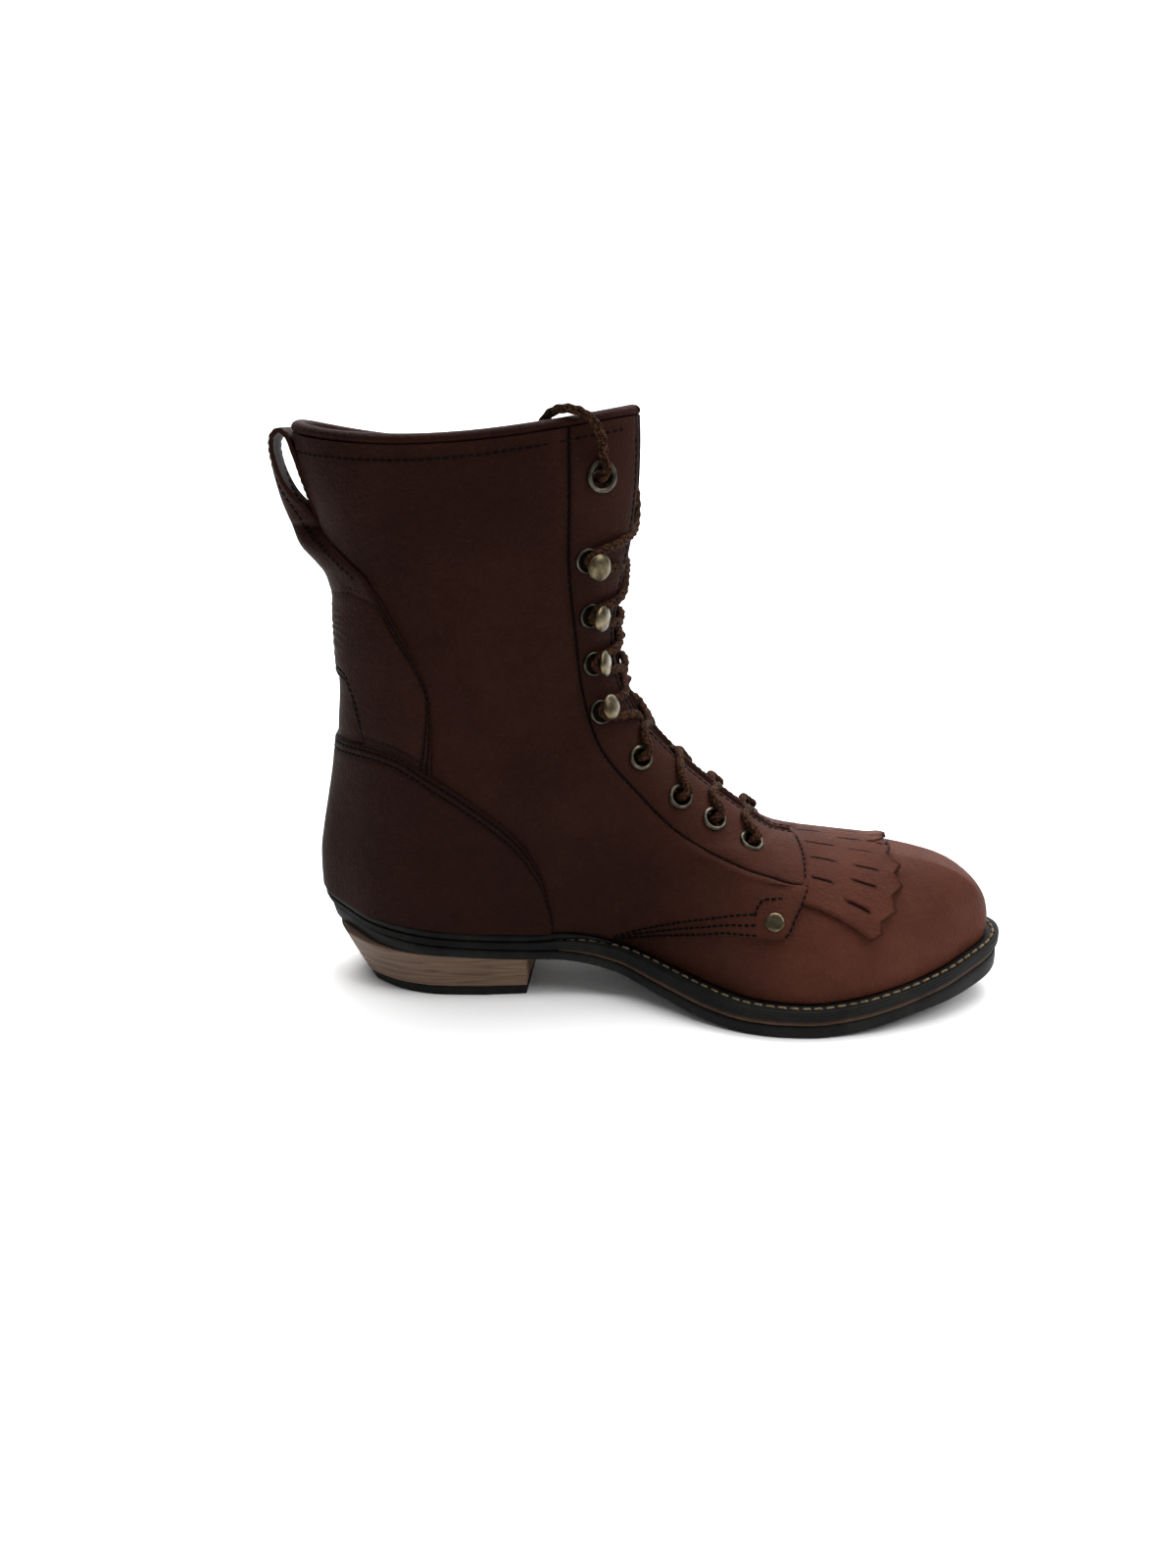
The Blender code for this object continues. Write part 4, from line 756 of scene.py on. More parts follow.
UPPER_PLAN = {-1: upper_plan(-1), 1: upper_plan(1)}
PLAN_ENDS = (float(BARE[1](0.0)), SOLE_LENGTH - float(BARE[1](SOLE_LENGTH)))
ROWS = np.arange(len(RINGS), dtype=float)
back_height = smooth(ROWS, column(RINGS, RING_COLUMNS, "back_z"))
front_x = smooth(ROWS, column(RINGS, RING_COLUMNS, "front_x"))
front_z = smooth(ROWS, column(RINGS, RING_COLUMNS, "front_z"))
back_x = smooth(column(BACK, BACK_COLUMNS, "z"), column(BACK, BACK_COLUMNS, "x"))
shaft_half = smooth(column(SHAFT, SHAFT_COLUMNS, "row"), column(SHAFT, SHAFT_COLUMNS, "half_width"))
RIDGE_X = np.concatenate(([60.0, 100.0, 122.0, 132.0], front_x(np.arange(16.0, 1.5, -1.0))))
RIDGE_Z = np.concatenate(([900.0, 420.0, 230.0, 172.0], front_z(np.arange(16.0, 1.5, -1.0))))
ridge = smooth(RIDGE_X, RIDGE_Z)


def feather(x):
    """Height of the upper's lower edge: on the welt, and on the rand round the heel."""
    layers = sole_bottom(x) + outsole_thick(x) + midsole_thick(x) + welt_thick(x) + rand_thick(x)
    return layers + 4 * SEAT_GAP


def surface(turn, row):
    """Outer face of the last at a turn from the back, negative on the inner side, and a row of its rings."""
    turn, row = np.broadcast_arrays(np.asarray(turn, float), np.asarray(row, float))
    turn = np.where(np.abs(turn) > math.pi, turn - np.sign(turn) * 2 * math.pi, turn)
    angle = np.abs(turn)
    share = (1 - np.cos(angle)) / 2
    start_x = back_x(back_height(row))
    x = start_x + (front_x(row) - start_x) * share
    chord = back_height(row) + (front_z(row) - back_height(row)) * share
    low_chord = back_height(0.0) + (front_z(0.0) - back_height(0.0)) * share
    fade = np.clip(1 - row / FEATHER_FADE_ROWS, 0, 1) ** 2
    dip = np.where(turn > 0, COLLAR_DIP_OUTER, COLLAR_DIP) * np.sin(math.pi * share ** COLLAR_DIP_SKEW)
    dip = dip * ease(COLLAR_DIP_ROW, TOP_ROW, row)
    z = chord + (feather(x) - low_chord) * fade - dip
    shifted = x - (start_x - PLAN_ENDS[0]) * (1 - share) ** 2
    shifted = shifted + (PLAN_ENDS[1] - front_x(row)) * share ** 6 * np.clip(TOE_ROW + 1 - row, 0, 1)
    height = np.clip((z - feather(x)) / (ridge(x) - feather(x)), 0, 1)
    dome = (1 - height ** DOME_TOP) ** (1 / DOME_SIDE)
    half = np.where(turn < 0, UPPER_PLAN[-1](shifted), UPPER_PLAN[1](shifted)) * dome
    oval = shaft_half(row) * np.abs(np.sin(angle)) ** SHAFT_ROUNDNESS
    oval = oval * (1 + SHAFT_BACK_FULLNESS * np.cos(angle))
    by_row = ease(FOOT_ROW, SHAFT_ROW, row)
    by_height = ease(ANKLE_LOW, ANKLE_HIGH, z)
    half = half + (oval - half) * (by_row + (by_height - by_row) * ease(ANKLE_FRONT, ANKLE_BACK, x))
    half = np.where(angle > math.pi - 1e-6, 0.0, half)
    return np.stack([x, np.sign(turn) * half, z], axis=-1)


def surface_normal(turn, row):
    """Outward unit normal of the last."""
    step = 4e-3
    low = np.clip(np.asarray(row, float) - step, 0, TOP_ROW)
    high = np.clip(np.asarray(row, float) + step, 0, TOP_ROW)
    around = surface(turn + step, row) - surface(turn - step, row)
    upward = surface(turn, high) - surface(turn, low)
    normal = np.cross(upward, around)
    return normal / np.linalg.norm(normal, axis=-1, keepdims=True)


half_gap = smooth(column(THROAT, THROAT_COLUMNS, "row"), column(THROAT, THROAT_COLUMNS, "half_gap"))


def throat_turns(side):
    """Angle round to the throat's edge on one side, as a function of the row."""
    rows = np.linspace(THROAT_ROW, TOP_ROW, 261)
    angles = np.linspace(math.pi * 0.6, math.pi, 400)
    turns = []
    for row in rows:
        across = np.abs(surface(side * angles, row)[:, 1])
        turns.append(np.interp(-float(half_gap(row)), -across, angles))
    turns[0] = math.pi
    return lambda row: np.where(row < THROAT_ROW, math.pi, np.interp(row, rows, turns))


EDGE_TURN = {side: throat_turns(side) for side in (-1, 1)}


def search(x, side, reached):
    """Angles and rows of the last at x on one side, where reached tells if a row is high enough."""
    x, side = np.broadcast_arrays(np.asarray(x, float), np.asarray(side, float))
    low = np.zeros(x.shape)
    high = np.full(x.shape, TOP_ROW)
    for _ in range(40):
        row = (low + high) / 2
        start = back_x(back_height(row))
        share = np.clip((x - start) / (front_x(row) - start), 0.0, 1.0)
        turn = side * np.arccos(1 - 2 * share)
        found = reached(surface(turn, row))
        high = np.where(found, row, high)
        low = np.where(found, low, row)
    return np.stack([turn, row], axis=-1)


def locate(x, z, side):
    """Places (angle, row) of the last that are seen at x, z from one side."""
    return search(x, side, lambda point: point[..., 2] >= z)


def vamp_at(x, across, side):
    """Places on the vamp at x and at a distance from the middle plane."""
    return search(x, side, lambda point: np.abs(point[..., 1]) <= across)


def laid(places, out):
    """Points at a distance outside the last."""
    turn, row = places[..., 0], places[..., 1]
    return surface(turn, row) + surface_normal(turn, row) * np.asarray(out)[..., None]


def side_path(points, side, count=160):
    """Places along a smooth edge that is seen from one side through points (x, z)."""
    line = spline(points, count)
    return locate(line[:, 0], line[:, 1], side)


# Materials

def shader(name, roughness, specular, metallic=0.0, coat=0.0):
    """New material with a Principled shader; returns it with its node tree and the shader."""
    made = bpy.data.materials.new(name)
    made.use_nodes = True
    tree = made.node_tree
    principled = tree.nodes["Principled BSDF"]
    principled.inputs["Roughness"].default_value = roughness
    principled.inputs["Metallic"].default_value = metallic
    principled.inputs["Coat Weight"].default_value = coat
    principled.inputs["Coat Roughness"].default_value = COAT_ROUGHNESS
    principled.inputs["Specular IOR Level"].default_value = specular
    return made, tree, principled


def node(tree, kind, **inputs):
    """New node with values for its inputs, named with _ for spaces."""
    made = tree.nodes.new(kind)
    for name, value in inputs.items():
        made.inputs[name.replace("_", " ")].default_value = value
    return made


def noise(tree, place, scale, detail, roughness):
    made = node(tree, "ShaderNodeTexNoise", Scale=scale, Detail=detail, Roughness=roughness)
    tree.links.new(place, made.inputs["Vector"])
    return made.outputs["Fac"]


def ramp(tree, value, *stops):
    """Colour ramp through (place, colour) stops."""
    made = tree.nodes.new("ShaderNodeValToRGB")
    tree.links.new(value, made.inputs["Fac"])
    elements = made.color_ramp.elements
    while len(elements) < len(stops):
        elements.new(0.5)
    for element, (place, colour) in zip(elements, stops):
        element.position = place
        element.color = (*colour, 1.0)
    return made.outputs["Color"]


def spread_to(tree, value, low, high):
    """A value from 0 to 1 spread from low to high."""
    made = node(tree, "ShaderNodeMapRange", To_Min=low, To_Max=high)
    tree.links.new(value, made.inputs["Value"])
    return made.outputs["Result"]


def mixed(tree, share, first, second):
    """Colour between two, by a share; each may be a value or another node's output."""
    made = tree.nodes.new("ShaderNodeMix")
    made.data_type = "RGBA"
    for socket, value in ((made.inputs[0], share), (made.inputs[6], first), (made.inputs[7], second)):
        if isinstance(value, bpy.types.NodeSocket):
            tree.links.new(value, socket)
        else:
            socket.default_value = value if isinstance(value, float) else (*value, 1.0)
    return made.outputs[2]


def math_node(tree, operation, first, second):
    made = tree.nodes.new("ShaderNodeMath")
    made.operation = operation
    for socket, value in zip(made.inputs, (first, second)):
        if isinstance(value, bpy.types.NodeSocket):
            tree.links.new(value, socket)
        else:
            socket.default_value = value
    return made.outputs["Value"]


def bump(tree, principled, height, distance, strength):
    made = node(tree, "ShaderNodeBump", Distance=distance, Strength=strength)
    tree.links.new(height, made.inputs["Height"])
    tree.links.new(made.outputs["Normal"], principled.inputs["Normal"])


def object_place(tree):
    return tree.nodes.new("ShaderNodeTexCoord").outputs["Object"]


def leather(name, colours, roughness=LEATHER_ROUGHNESS, painted_shade=SHAFT_PAINTED_SHADE):
    """Grained leather, burnished along its edges, with painted shade in its stitch channels and painted shade
    darkening it towards the shaft; uneven in gloss.
    """
    made, tree, principled = shader(name, roughness[0], LEATHER_GLOSS)
    place = object_place(tree)
    colour = ramp(tree, noise(tree, place, *LEATHER_CLOUD), *zip(LEATHER_STOPS, colours))
    pebble = node(tree, "ShaderNodeTexVoronoi", Scale=LEATHER_PEBBLE)
    pebble.feature = "SMOOTH_F1"
    tree.links.new(place, pebble.inputs["Vector"])
    pores = noise(tree, place, *LEATHER_PORES)
    wrinkle = noise(tree, place, *LEATHER_WRINKLE)
    relief = pebble.outputs["Distance"]
    for part, share in ((pores, PORE_SHARE), (wrinkle, WRINKLE_SHARE)):
        relief = math_node(tree, "ADD", relief, math_node(tree, "MULTIPLY", part, share))
    # Colour darkened by the edge attribute: burnished edges, and painted shade in stitch channels
    burnish_and_shade_mask = node(tree, "ShaderNodeAttribute")
    burnish_and_shade_mask.attribute_name = "edge"
    colour = mixed(tree, burnish_and_shade_mask.outputs["Fac"], colour, tuple(BURNISH_AND_SHADE_DARK * c for c in colours[0]))
    split = tree.nodes.new("ShaderNodeSeparateXYZ")
    tree.links.new(place, split.inputs["Vector"])
    # Painted shade: the colour is darkened from the toe to the shaft, by the place along the foot
    start, end = PAINTED_SHADE_SPAN
    painted_tone = node(tree, "ShaderNodeMapRange", From_Min=start, From_Max=end, To_Min=painted_shade, To_Max=1.0)
    painted_tone.interpolation_type = "SMOOTHSTEP"
    tree.links.new(split.outputs["X"], painted_tone.inputs["Value"])
    fleck = spread_to(tree, noise(tree, place, *LEATHER_FLECK), *LEATHER_FLECK_SPAN)
    tint = tree.nodes.new("ShaderNodeHueSaturation")
    tree.links.new(colour, tint.inputs["Color"])
    tree.links.new(math_node(tree, "MULTIPLY", fleck, painted_tone.outputs["Result"]), tint.inputs["Value"])
    tree.links.new(tint.outputs["Color"], principled.inputs["Base Color"])
    tree.links.new(spread_to(tree, wrinkle, *roughness), principled.inputs["Roughness"])
    bump(tree, principled, relief, *LEATHER_BUMP)
    return made


def rubber(name, colours, roughness=RUBBER_ROUGHNESS):
    """Moulded sole rubber: dusty scuffs and a fine satin relief."""
    made, tree, principled = shader(name, roughness[0], RUBBER_GLOSS)
    place = object_place(tree)
    dust = noise(tree, place, *RUBBER_DUST)
    tree.links.new(ramp(tree, dust, *zip(RUBBER_STOPS, colours)), principled.inputs["Base Color"])
    tree.links.new(spread_to(tree, dust, *roughness), principled.inputs["Roughness"])
    bump(tree, principled, noise(tree, place, *RUBBER_GRAIN), *RUBBER_BUMP)
    return made


def stacked_leather():
    """Heel stack: leather lifts in bands of different browns, streaked along the lifts."""
    made, tree, principled = shader("stacked_leather", STACK_BASE_ROUGHNESS, STACK_GLOSS, coat=STACK_COAT)
    stretch = node(tree, "ShaderNodeMapping", Scale=STACK_STRETCH)
    tree.links.new(object_place(tree), stretch.inputs["Vector"])
    bands = noise(tree, stretch.outputs["Vector"], *STACK_BANDS)
    streaks = noise(tree, stretch.outputs["Vector"], *STACK_STREAKS)
    colour = ramp(tree, bands, *STACK_COLOURS)
    streaked = mixed(tree, spread_to(tree, streaks, 0.0, STREAK_SHARE), colour, STREAK_COLOUR)
    tree.links.new(streaked, principled.inputs["Base Color"])
    tree.links.new(spread_to(tree, streaks, *STACK_ROUGHNESS), principled.inputs["Roughness"])
    bump(tree, principled, streaks, *STACK_BUMP)
    return made


def metal(name, colours, roughness):
    """Aged metal: tarnish in clouds, small scratches."""
    made, tree, principled = shader(name, roughness[0], METAL_GLOSS, metallic=1.0)
    place = object_place(tree)
    tarnish = noise(tree, place, *METAL_TARNISH)
    tree.links.new(ramp(tree, tarnish, *zip(METAL_STOPS, colours)), principled.inputs["Base Color"])
    tree.links.new(spread_to(tree, tarnish, *roughness[::-1]), principled.inputs["Roughness"])
    bump(tree, principled, noise(tree, place, *METAL_SCRATCHES), *METAL_BUMP)
    return made


def thread(name, colours):
    """Twisted thread or lace yarn: soft, matt, flecked."""
    made, tree, principled = shader(name, YARN_ROUGHNESS, YARN_GLOSS)
    place = object_place(tree)
    fleck = noise(tree, place, *YARN_FLECK)
    tree.links.new(ramp(tree, fleck, *zip(YARN_STOPS, colours)), principled.inputs["Base Color"])
    bump(tree, principled, noise(tree, place, *YARN_FIBRES), *YARN_BUMP)
    return made


def plain_floor():
    made, _, principled = shader("floor", FLOOR_ROUGHNESS, FLOOR_GLOSS)
    principled.inputs["Base Color"].default_value = FLOOR_COLOUR
    return made


# Meshes

def quads(rows, columns, closed=False):
    """Faces of a grid of points; closed joins the last column to the first."""
    r, c = np.meshgrid(np.arange(rows - 1), np.arange(columns if closed else columns - 1), indexing="ij")
    a = r * columns + c
    b = r * columns + (c + 1) % columns
    return np.stack([a, b, b + columns, a + columns], axis=-1).reshape(-1, 4)


def add(name, points, faces, look, stands_for=(), edge=None):
    """Smooth-shaded piece of the boot from points in the modelling frame."""
    mesh = bpy.data.meshes.new(name)
    mesh.from_pydata(to_frame(points).tolist(), [], [list(map(int, face)) for face in faces])
    mesh.polygons.foreach_set("use_smooth", [True] * len(mesh.polygons))
    # edge holds how far the colour is darkened: burnished edges, and painted shade in stitch channels
    if edge is not None:
        layer = mesh.attributes.new("edge", "FLOAT", "POINT")
        layer.data.foreach_set("value", np.asarray(edge, np.float32).ravel())
    mesh.update()
    mesh.materials.append(look)
    made = bpy.data.objects.new(name, mesh)
    bpy.context.scene.collection.objects.link(made)
    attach(made, "root")
    if stands_for:
        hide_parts(*stands_for)
    return made


def welded(piece):
    """Merge a piece's points that fall together, and drop points without faces."""
    mesh = bmesh.new()
    mesh.from_mesh(piece.data)
    bmesh.ops.remove_doubles(mesh, verts=mesh.verts, dist=1e-6)
    bmesh.ops.delete(mesh, geom=[v for v in mesh.verts if not v.link_faces], context="VERTS")
    mesh.to_mesh(piece.data)
    mesh.free()


def eased(piece, start, half_width, rounds):
    """Smooth a piece's surface in a band along its middle, from a place forward."""
    mesh = bmesh.new()
    mesh.from_mesh(piece.data)
    low_x, middle, _ = to_frame((start, 0.0, 0.0))
    band = [v for v in mesh.verts
            if v.co.x > low_x and abs(v.co.y - middle) < half_width * MM and not v.is_boundary]
    for _ in range(rounds):
        bmesh.ops.smooth_vert(mesh, verts=band, factor=0.5, use_axis_x=True, use_axis_y=True, use_axis_z=True)
    mesh.to_mesh(piece.data)
    mesh.free()


def thickened(piece, thickness):
    """Give a sheet a thickness inward, and return the modifier that does so."""
    body = piece.modifiers.new("body", "SOLIDIFY")
    body.thickness = thickness * MM
    body.offset = -1
    return body


def rounded(piece, width):
    """Round a piece's sharp edges by a width."""
    edge = piece.modifiers.new("edges", "BEVEL")
    edge.width = width * MM
    edge.segments = 2
    edge.limit_method = "ANGLE"
    edge.angle_limit = math.radians(40)


def tube(rows):
    """Faces of a row of closed rings, with both ends closed."""
    count = len(rows[0])
    faces = [list(face) for face in quads(len(rows), count, closed=True)]
    return faces + [list(range(count)), list(range(count * (len(rows) - 1), count * len(rows)))[::-1]]


def joined(parts):
    """Points and faces of several (points, faces) meshes as one."""
    points, faces, start = [], [], 0
    for some_points, some_faces in parts:
        points.append(np.asarray(some_points, float).reshape(-1, 3))
        faces.extend([[int(i) + start for i in face] for face in some_faces])
        start += len(points[-1])
    return np.concatenate(points), faces


def waves(points, size, height, phase):
    """Soft unevenness: a few crossed sine waves of a size."""
    p = np.asarray(points) / size * 2 * math.pi
    a = np.sin(p[..., 0] * 0.9 + p[..., 2] * 0.5 + phase)
    b = np.sin(p[..., 2] * 1.1 - p[..., 0] * 0.35 + p[..., 1] * 0.6 + 1.7 * phase + 1.0)
    c = np.sin(p[..., 0] * 0.55 + p[..., 1] * 0.9 - p[..., 2] * 0.8 + 2.3 * phase)
    return height * (a + b + c) / 3


# Creases: soft troughs along a line of (x, z) on one side, as (points, depth, half width)
CREASES = {
    "medial": (
        (((22.0, 133.0), (30.0, 131.0), (44.0, 128.0), (56.0, 127.0)), 0.5, 2.2),
        (((20.0, 126.0), (34.0, 122.0), (52.0, 119.0)), 0.45, 2.0),
        (((64.0, 120.0), (84.0, 112.0), (104.0, 108.0)), 0.5, 6.0),
        (((150.0, 62.0), (166.0, 52.0), (178.0, 44.0)), 0.35, 4.0),
    ),
    "lateral": (
        (((22.0, 133.0), (30.0, 131.0), (44.0, 128.0), (56.0, 127.0)), 0.5, 2.2),
        (((64.0, 118.0), (84.0, 110.0), (104.0, 106.0)), 0.5, 6.0),
    ),
}


def crease_depth(points, side_name):
    """How far the creases draw the leather in at each point."""
    drawn = np.zeros(points.shape[:-1])
    for line, depth, half_width in CREASES[side_name]:
        path = spline(line, 24)
        gap = np.linalg.norm(points[..., None, [0, 2]] - path, axis=-1)
        nearest = gap.min(axis=-1)
        along = gap.argmin(axis=-1) / (len(path) - 1)
        taper = np.sin(math.pi * np.clip(along, 0.02, 0.98)) ** 0.6
        drawn += depth * np.exp(-((nearest / half_width) ** 2)) * taper
    return drawn


def by_length(places):
    """Curve along places as a function of the share of its length."""
    run = run_length(surface(places[:, 0], places[:, 1]))
    run /= run[-1]
    return lambda share: np.stack([np.interp(share, run, places[:, k]) for k in (0, 1)], axis=-1)


def ladder(size, middle, start=True):
    """Shares across a panel of a size, close together at its end and, if it is open, at its start."""
    near = np.array(EDGE_LADDER) / size
    low = near if start else near[:1]
    high = 1 - near[::-1]
    return np.concatenate([low, np.linspace(low[-1], high[0], middle + 2)[1:-1], high])


def patch(left, right, low, high, across, up):
    """Places between four edge curves; rows run from low to high and columns from left to right."""
    u, v = across[None, :, None], up[:, None, None]
    sides = left(up)[:, None, :] * (1 - u) + right(up)[:, None, :] * u
    ends = low(across)[None] * (1 - v) + high(across)[None] * v
    first, last = np.zeros(1), np.ones(1)
    low_corners = (1 - u) * low(first) + u * low(last)
    high_corners = (1 - u) * high(first) + u * high(last)
    return sides + ends - ((1 - v) * low_corners + v * high_corners)


def edge_distances(points):
    """Distance along the grid's lines from its low, high, left and right edge."""
    up = np.linalg.norm(np.diff(points, axis=0), axis=-1)
    across = np.linalg.norm(np.diff(points, axis=1), axis=-1)
    low = np.concatenate([np.zeros((1, up.shape[1])), np.cumsum(up, axis=0)])
    left = np.concatenate([np.zeros((across.shape[0], 1)), np.cumsum(across, axis=1)], axis=1)
    return {"low": low, "high": low[-1:] - low, "left": left, "right": left[:, -1:] - left}


def panel(places, out, open_edges, grooves=(), puff=()):
    """Points of a leather panel laid on the last, rolled off and skirted at its open edges.

    open_edges gives each edge's roll; grooves are (edge, distance, depth) stitch channels, darkened with
    painted shade; puff are (edge, distance, height, half width) swellings. Also returns how far the colour is
    darkened: burnished edges and the channels' painted shade.
    """
    flat = surface(places[..., 0], places[..., 1])
    gaps = edge_distances(flat)
    stand = np.full(flat.shape[:2], float(out))
    for edge, distance, height, half_width in puff:
        stand += height * np.exp(-(((gaps[edge] - distance) / half_width) ** 2))
    burnish_and_shade = np.zeros(flat.shape[:2])
    for edge, distance, depth in grooves:
        channel = np.exp(-(((gaps[edge] - distance) / GROOVE_HALF) ** 2))
        stand -= depth * channel
        # Painted shade: the channel's colour is darkened
        burnish_and_shade = np.maximum(burnish_and_shade, GROOVE_PAINTED_SHADE * channel)
    on_edge = np.zeros(flat.shape[:2], bool)
    drop = np.zeros(flat.shape[:2])
    for edge, roll in open_edges.items():
        drop = np.maximum(drop, EDGE_DROP * out * np.clip(1 - gaps[edge] / roll, 0, 1) ** 2)
        on_edge |= gaps[edge] < 1e-6
        burnish_and_shade = np.maximum(burnish_and_shade, EDGE_BURNISH * np.exp(-gaps[edge] / EDGE_BURNISH_REACH))
    return flat, np.where(on_edge, SKIRT, stand - drop), gaps, burnish_and_shade


def inset_line(points, gaps, edge, distance):
    """Points of a laid grid at a distance from one of its edges."""
    grid, gap = points, gaps[edge]
    if edge in ("left", "right"):
        grid, gap = np.swapaxes(points, 0, 1), gap.T
    line = []
    for c in range(grid.shape[1]):
        order = np.argsort(gap[:, c])
        line.append([np.interp(distance, gap[order, c], grid[order, c, k]) for k in range(3)])
    return np.array(line)


def stitch_row(line, normals, pitch, length, radius, sink=STITCH_SINK):
    """Stitches along a line: short rounded threads pulled in at both ends."""
    run = run_length(line)
    count = int((run[-1] - pitch) / pitch)
    if count < 1:
        return np.zeros((0, 3)), []
    middles = pitch * (0.5 + np.arange(count))

    def at(distance, values):
        return np.column_stack([np.interp(distance, run, values[:, k]) for k in range(3)])

    rings = []
    for along, swell in STITCH_RINGS:
        centre = at(middles + along * length, line)
        up = at(middles, normals)
        up /= np.linalg.norm(up, axis=1, keepdims=True)
        forward = at(middles + 0.3, line) - at(middles - 0.3, line)
        forward /= np.linalg.norm(forward, axis=1, keepdims=True)
        aside = np.cross(forward, up)
        dip = radius * (STITCH_END_DIP if abs(along) == 0.5 else 0.0)
        ring = []
        for k in range(STITCH_SIDES):
            angle = 2 * math.pi * k / STITCH_SIDES
            lift = radius * (swell * math.sin(angle) - sink) - dip
            ring.append(centre + aside * radius * swell * math.cos(angle) + up * lift)
        rings.append(np.stack(ring, axis=1))
    points = np.stack(rings, axis=1)
    size = len(STITCH_RINGS) * STITCH_SIDES
    one = [list(face) for face in quads(len(STITCH_RINGS), STITCH_SIDES, closed=True)]
    one.append(list(range(STITCH_SIDES))[::-1])
    one.append(list(range(size - STITCH_SIDES, size)))
    faces = [[i + size * k for i in face] for k in range(count) for face in one]
    return points.reshape(-1, 3), faces


def line_normals(line):
    """Normals of the last near a line of points."""
    side = np.where(line[:, 1] < 0, -1.0, 1.0)
    places = locate(line[:, 0], line[:, 2], side)
    return surface_normal(places[:, 0], places[:, 1])


def rope(path):
    """Twisted lace along a path, as points, faces and its middle line."""
    count = int(run_length(path)[-1] / LACE_STEP)
    line = spline(path, count)
    run = run_length(line)
    forward = np.gradient(line, axis=0)
    forward /= np.linalg.norm(forward, axis=1, keepdims=True)
    normal = np.cross(forward[0], (0.31, 0.17, 0.93))
    angles = np.linspace(0, 2 * math.pi, LACE_SIDES, endpoint=False)
    rings = []
    for point, ahead, distance in zip(line, forward, run):
        normal = normal - ahead * (normal @ ahead)
        normal = normal / np.linalg.norm(normal)
        aside = np.cross(ahead, normal)
        rib = np.cos(LACE_STRANDS * (angles - math.pi * distance / LACE_TWIST_PITCH))
        swell = LACE_RADIUS * (LACE_SWELL[0] + LACE_SWELL[1] * rib)
        ring = np.outer(np.cos(angles) * swell, normal) + np.outer(np.sin(angles) * swell, aside)
        rings.append(point + ring)
    faces = [list(face) for face in quads(count, LACE_SIDES, closed=True)]
    faces.append(list(range(LACE_SIDES))[::-1])
    faces.append(list(range((count - 1) * LACE_SIDES, count * LACE_SIDES)))
    return np.concatenate(rings), faces, line


def revolved(profile):
    """Surface turned about the z axis from (radius, height) points."""
    angles = np.linspace(0, 2 * math.pi, TURNED_SIDES, endpoint=False)
    rings = [np.column_stack([r * np.cos(angles), r * np.sin(angles), 0 * angles + h]) for r, h in profile]
    return np.concatenate(rings), quads(len(profile), TURNED_SIDES, closed=True)


def seat(place, side, out):
    """Frame on the last at a place seen from the side: columns forward, along and outward, and the origin."""
    turn, row = locate(*place, side)
    normal = surface_normal(turn, row)
    forward = surface(turn + side * 0.02, row) - surface(turn - side * 0.02, row)
    forward -= normal * (forward @ normal)
    forward /= np.linalg.norm(forward)
    along = np.cross(normal, forward) * -side
    return np.stack([forward, along, normal]), surface(turn, row) + normal * out


def seated(points, place, side, out):
    """Points moved from their own axes to a place on the last."""
    axes, origin = seat(place, side, out)
    return np.asarray(points, float) @ axes + origin


def punched(points, faces):
    """Faces of a panel without those inside the eyelets' holes."""
    keep = np.ones(len(faces), bool)
    for side in SIDES.values():
        for place in EYELET_PLACES + (TOP_EYELET_PLACE,):
            axes, origin = seat(place, side, 0.0)
            local = (points - origin) @ axes.T
            far = np.where(np.abs(local[:, 2]) < HOLE_DEPTH, np.hypot(local[:, 0], local[:, 1]), np.inf)
            keep &= far[faces].mean(axis=1) > HOLE_RADIUS
    return faces[keep]


# Camera and the lace's free end

def build_camera():
    data = bpy.data.cameras.new("camera")
    data.lens = CAMERA_LENS
    data.sensor_width = CAMERA_SENSOR
    data.sensor_fit = "AUTO"
    made = bpy.data.objects.new("camera", data)
    made.location = to_frame(CAMERA_PLACE)
    made.rotation_mode = "QUATERNION"
    made.rotation_quaternion = Vector(CAMERA_LOOK).to_track_quat("-Z", "Y")
    bpy.context.scene.collection.objects.link(made)
    bpy.context.scene.camera = made


def build_lace_end(look):
    points, faces, line = rope(np.array(LACE_END_ROUTE))
    made = add("lace_end_cord", points, faces, look, ("lace_end",))
    to_frame(line[0])
    run_length(line)[-1] * MM
    to_frame(line)


# Sole

def sole_loop(inset, height, tuck=0.0, start=0.0):
    """Closed ring of points round the sole at an inset, with heights read from a function of x."""
    first = math.acos(1 - 2 * start / SOLE_LENGTH)
    angles = np.linspace(first, math.pi, PLAN_STEPS + 1)
    x = SOLE_LENGTH * (1 - np.cos(angles)) / 2
    drawn_in = inset + tuck * (1 - ease(0.0, TUCK_END, x))
    sides = []
    for side in (-1, 1):
        plan = sole_edge(angles, side, drawn_in)
        sides.append(np.column_stack([plan, height(plan[:, 0])]))
    inner, outer = sides
    return np.concatenate([inner, outer[-2:(0 if start == 0 else None):-1]])


def outsole_top(x):
    return sole_bottom(x) + outsole_thick(x)


def midsole_bottom(x):
    return outsole_top(x) + SEAT_GAP


def midsole_top(x):
    return midsole_bottom(x) + midsole_thick(x)


def welt_bottom(x):
    return midsole_top(x) + SEAT_GAP


def welt_top(x):
    return welt_bottom(x) + welt_thick(x)


def rand_bottom(x):
    return welt_top(x) + SEAT_GAP


def rand_top(x):
    return rand_bottom(x) + rand_thick(x)


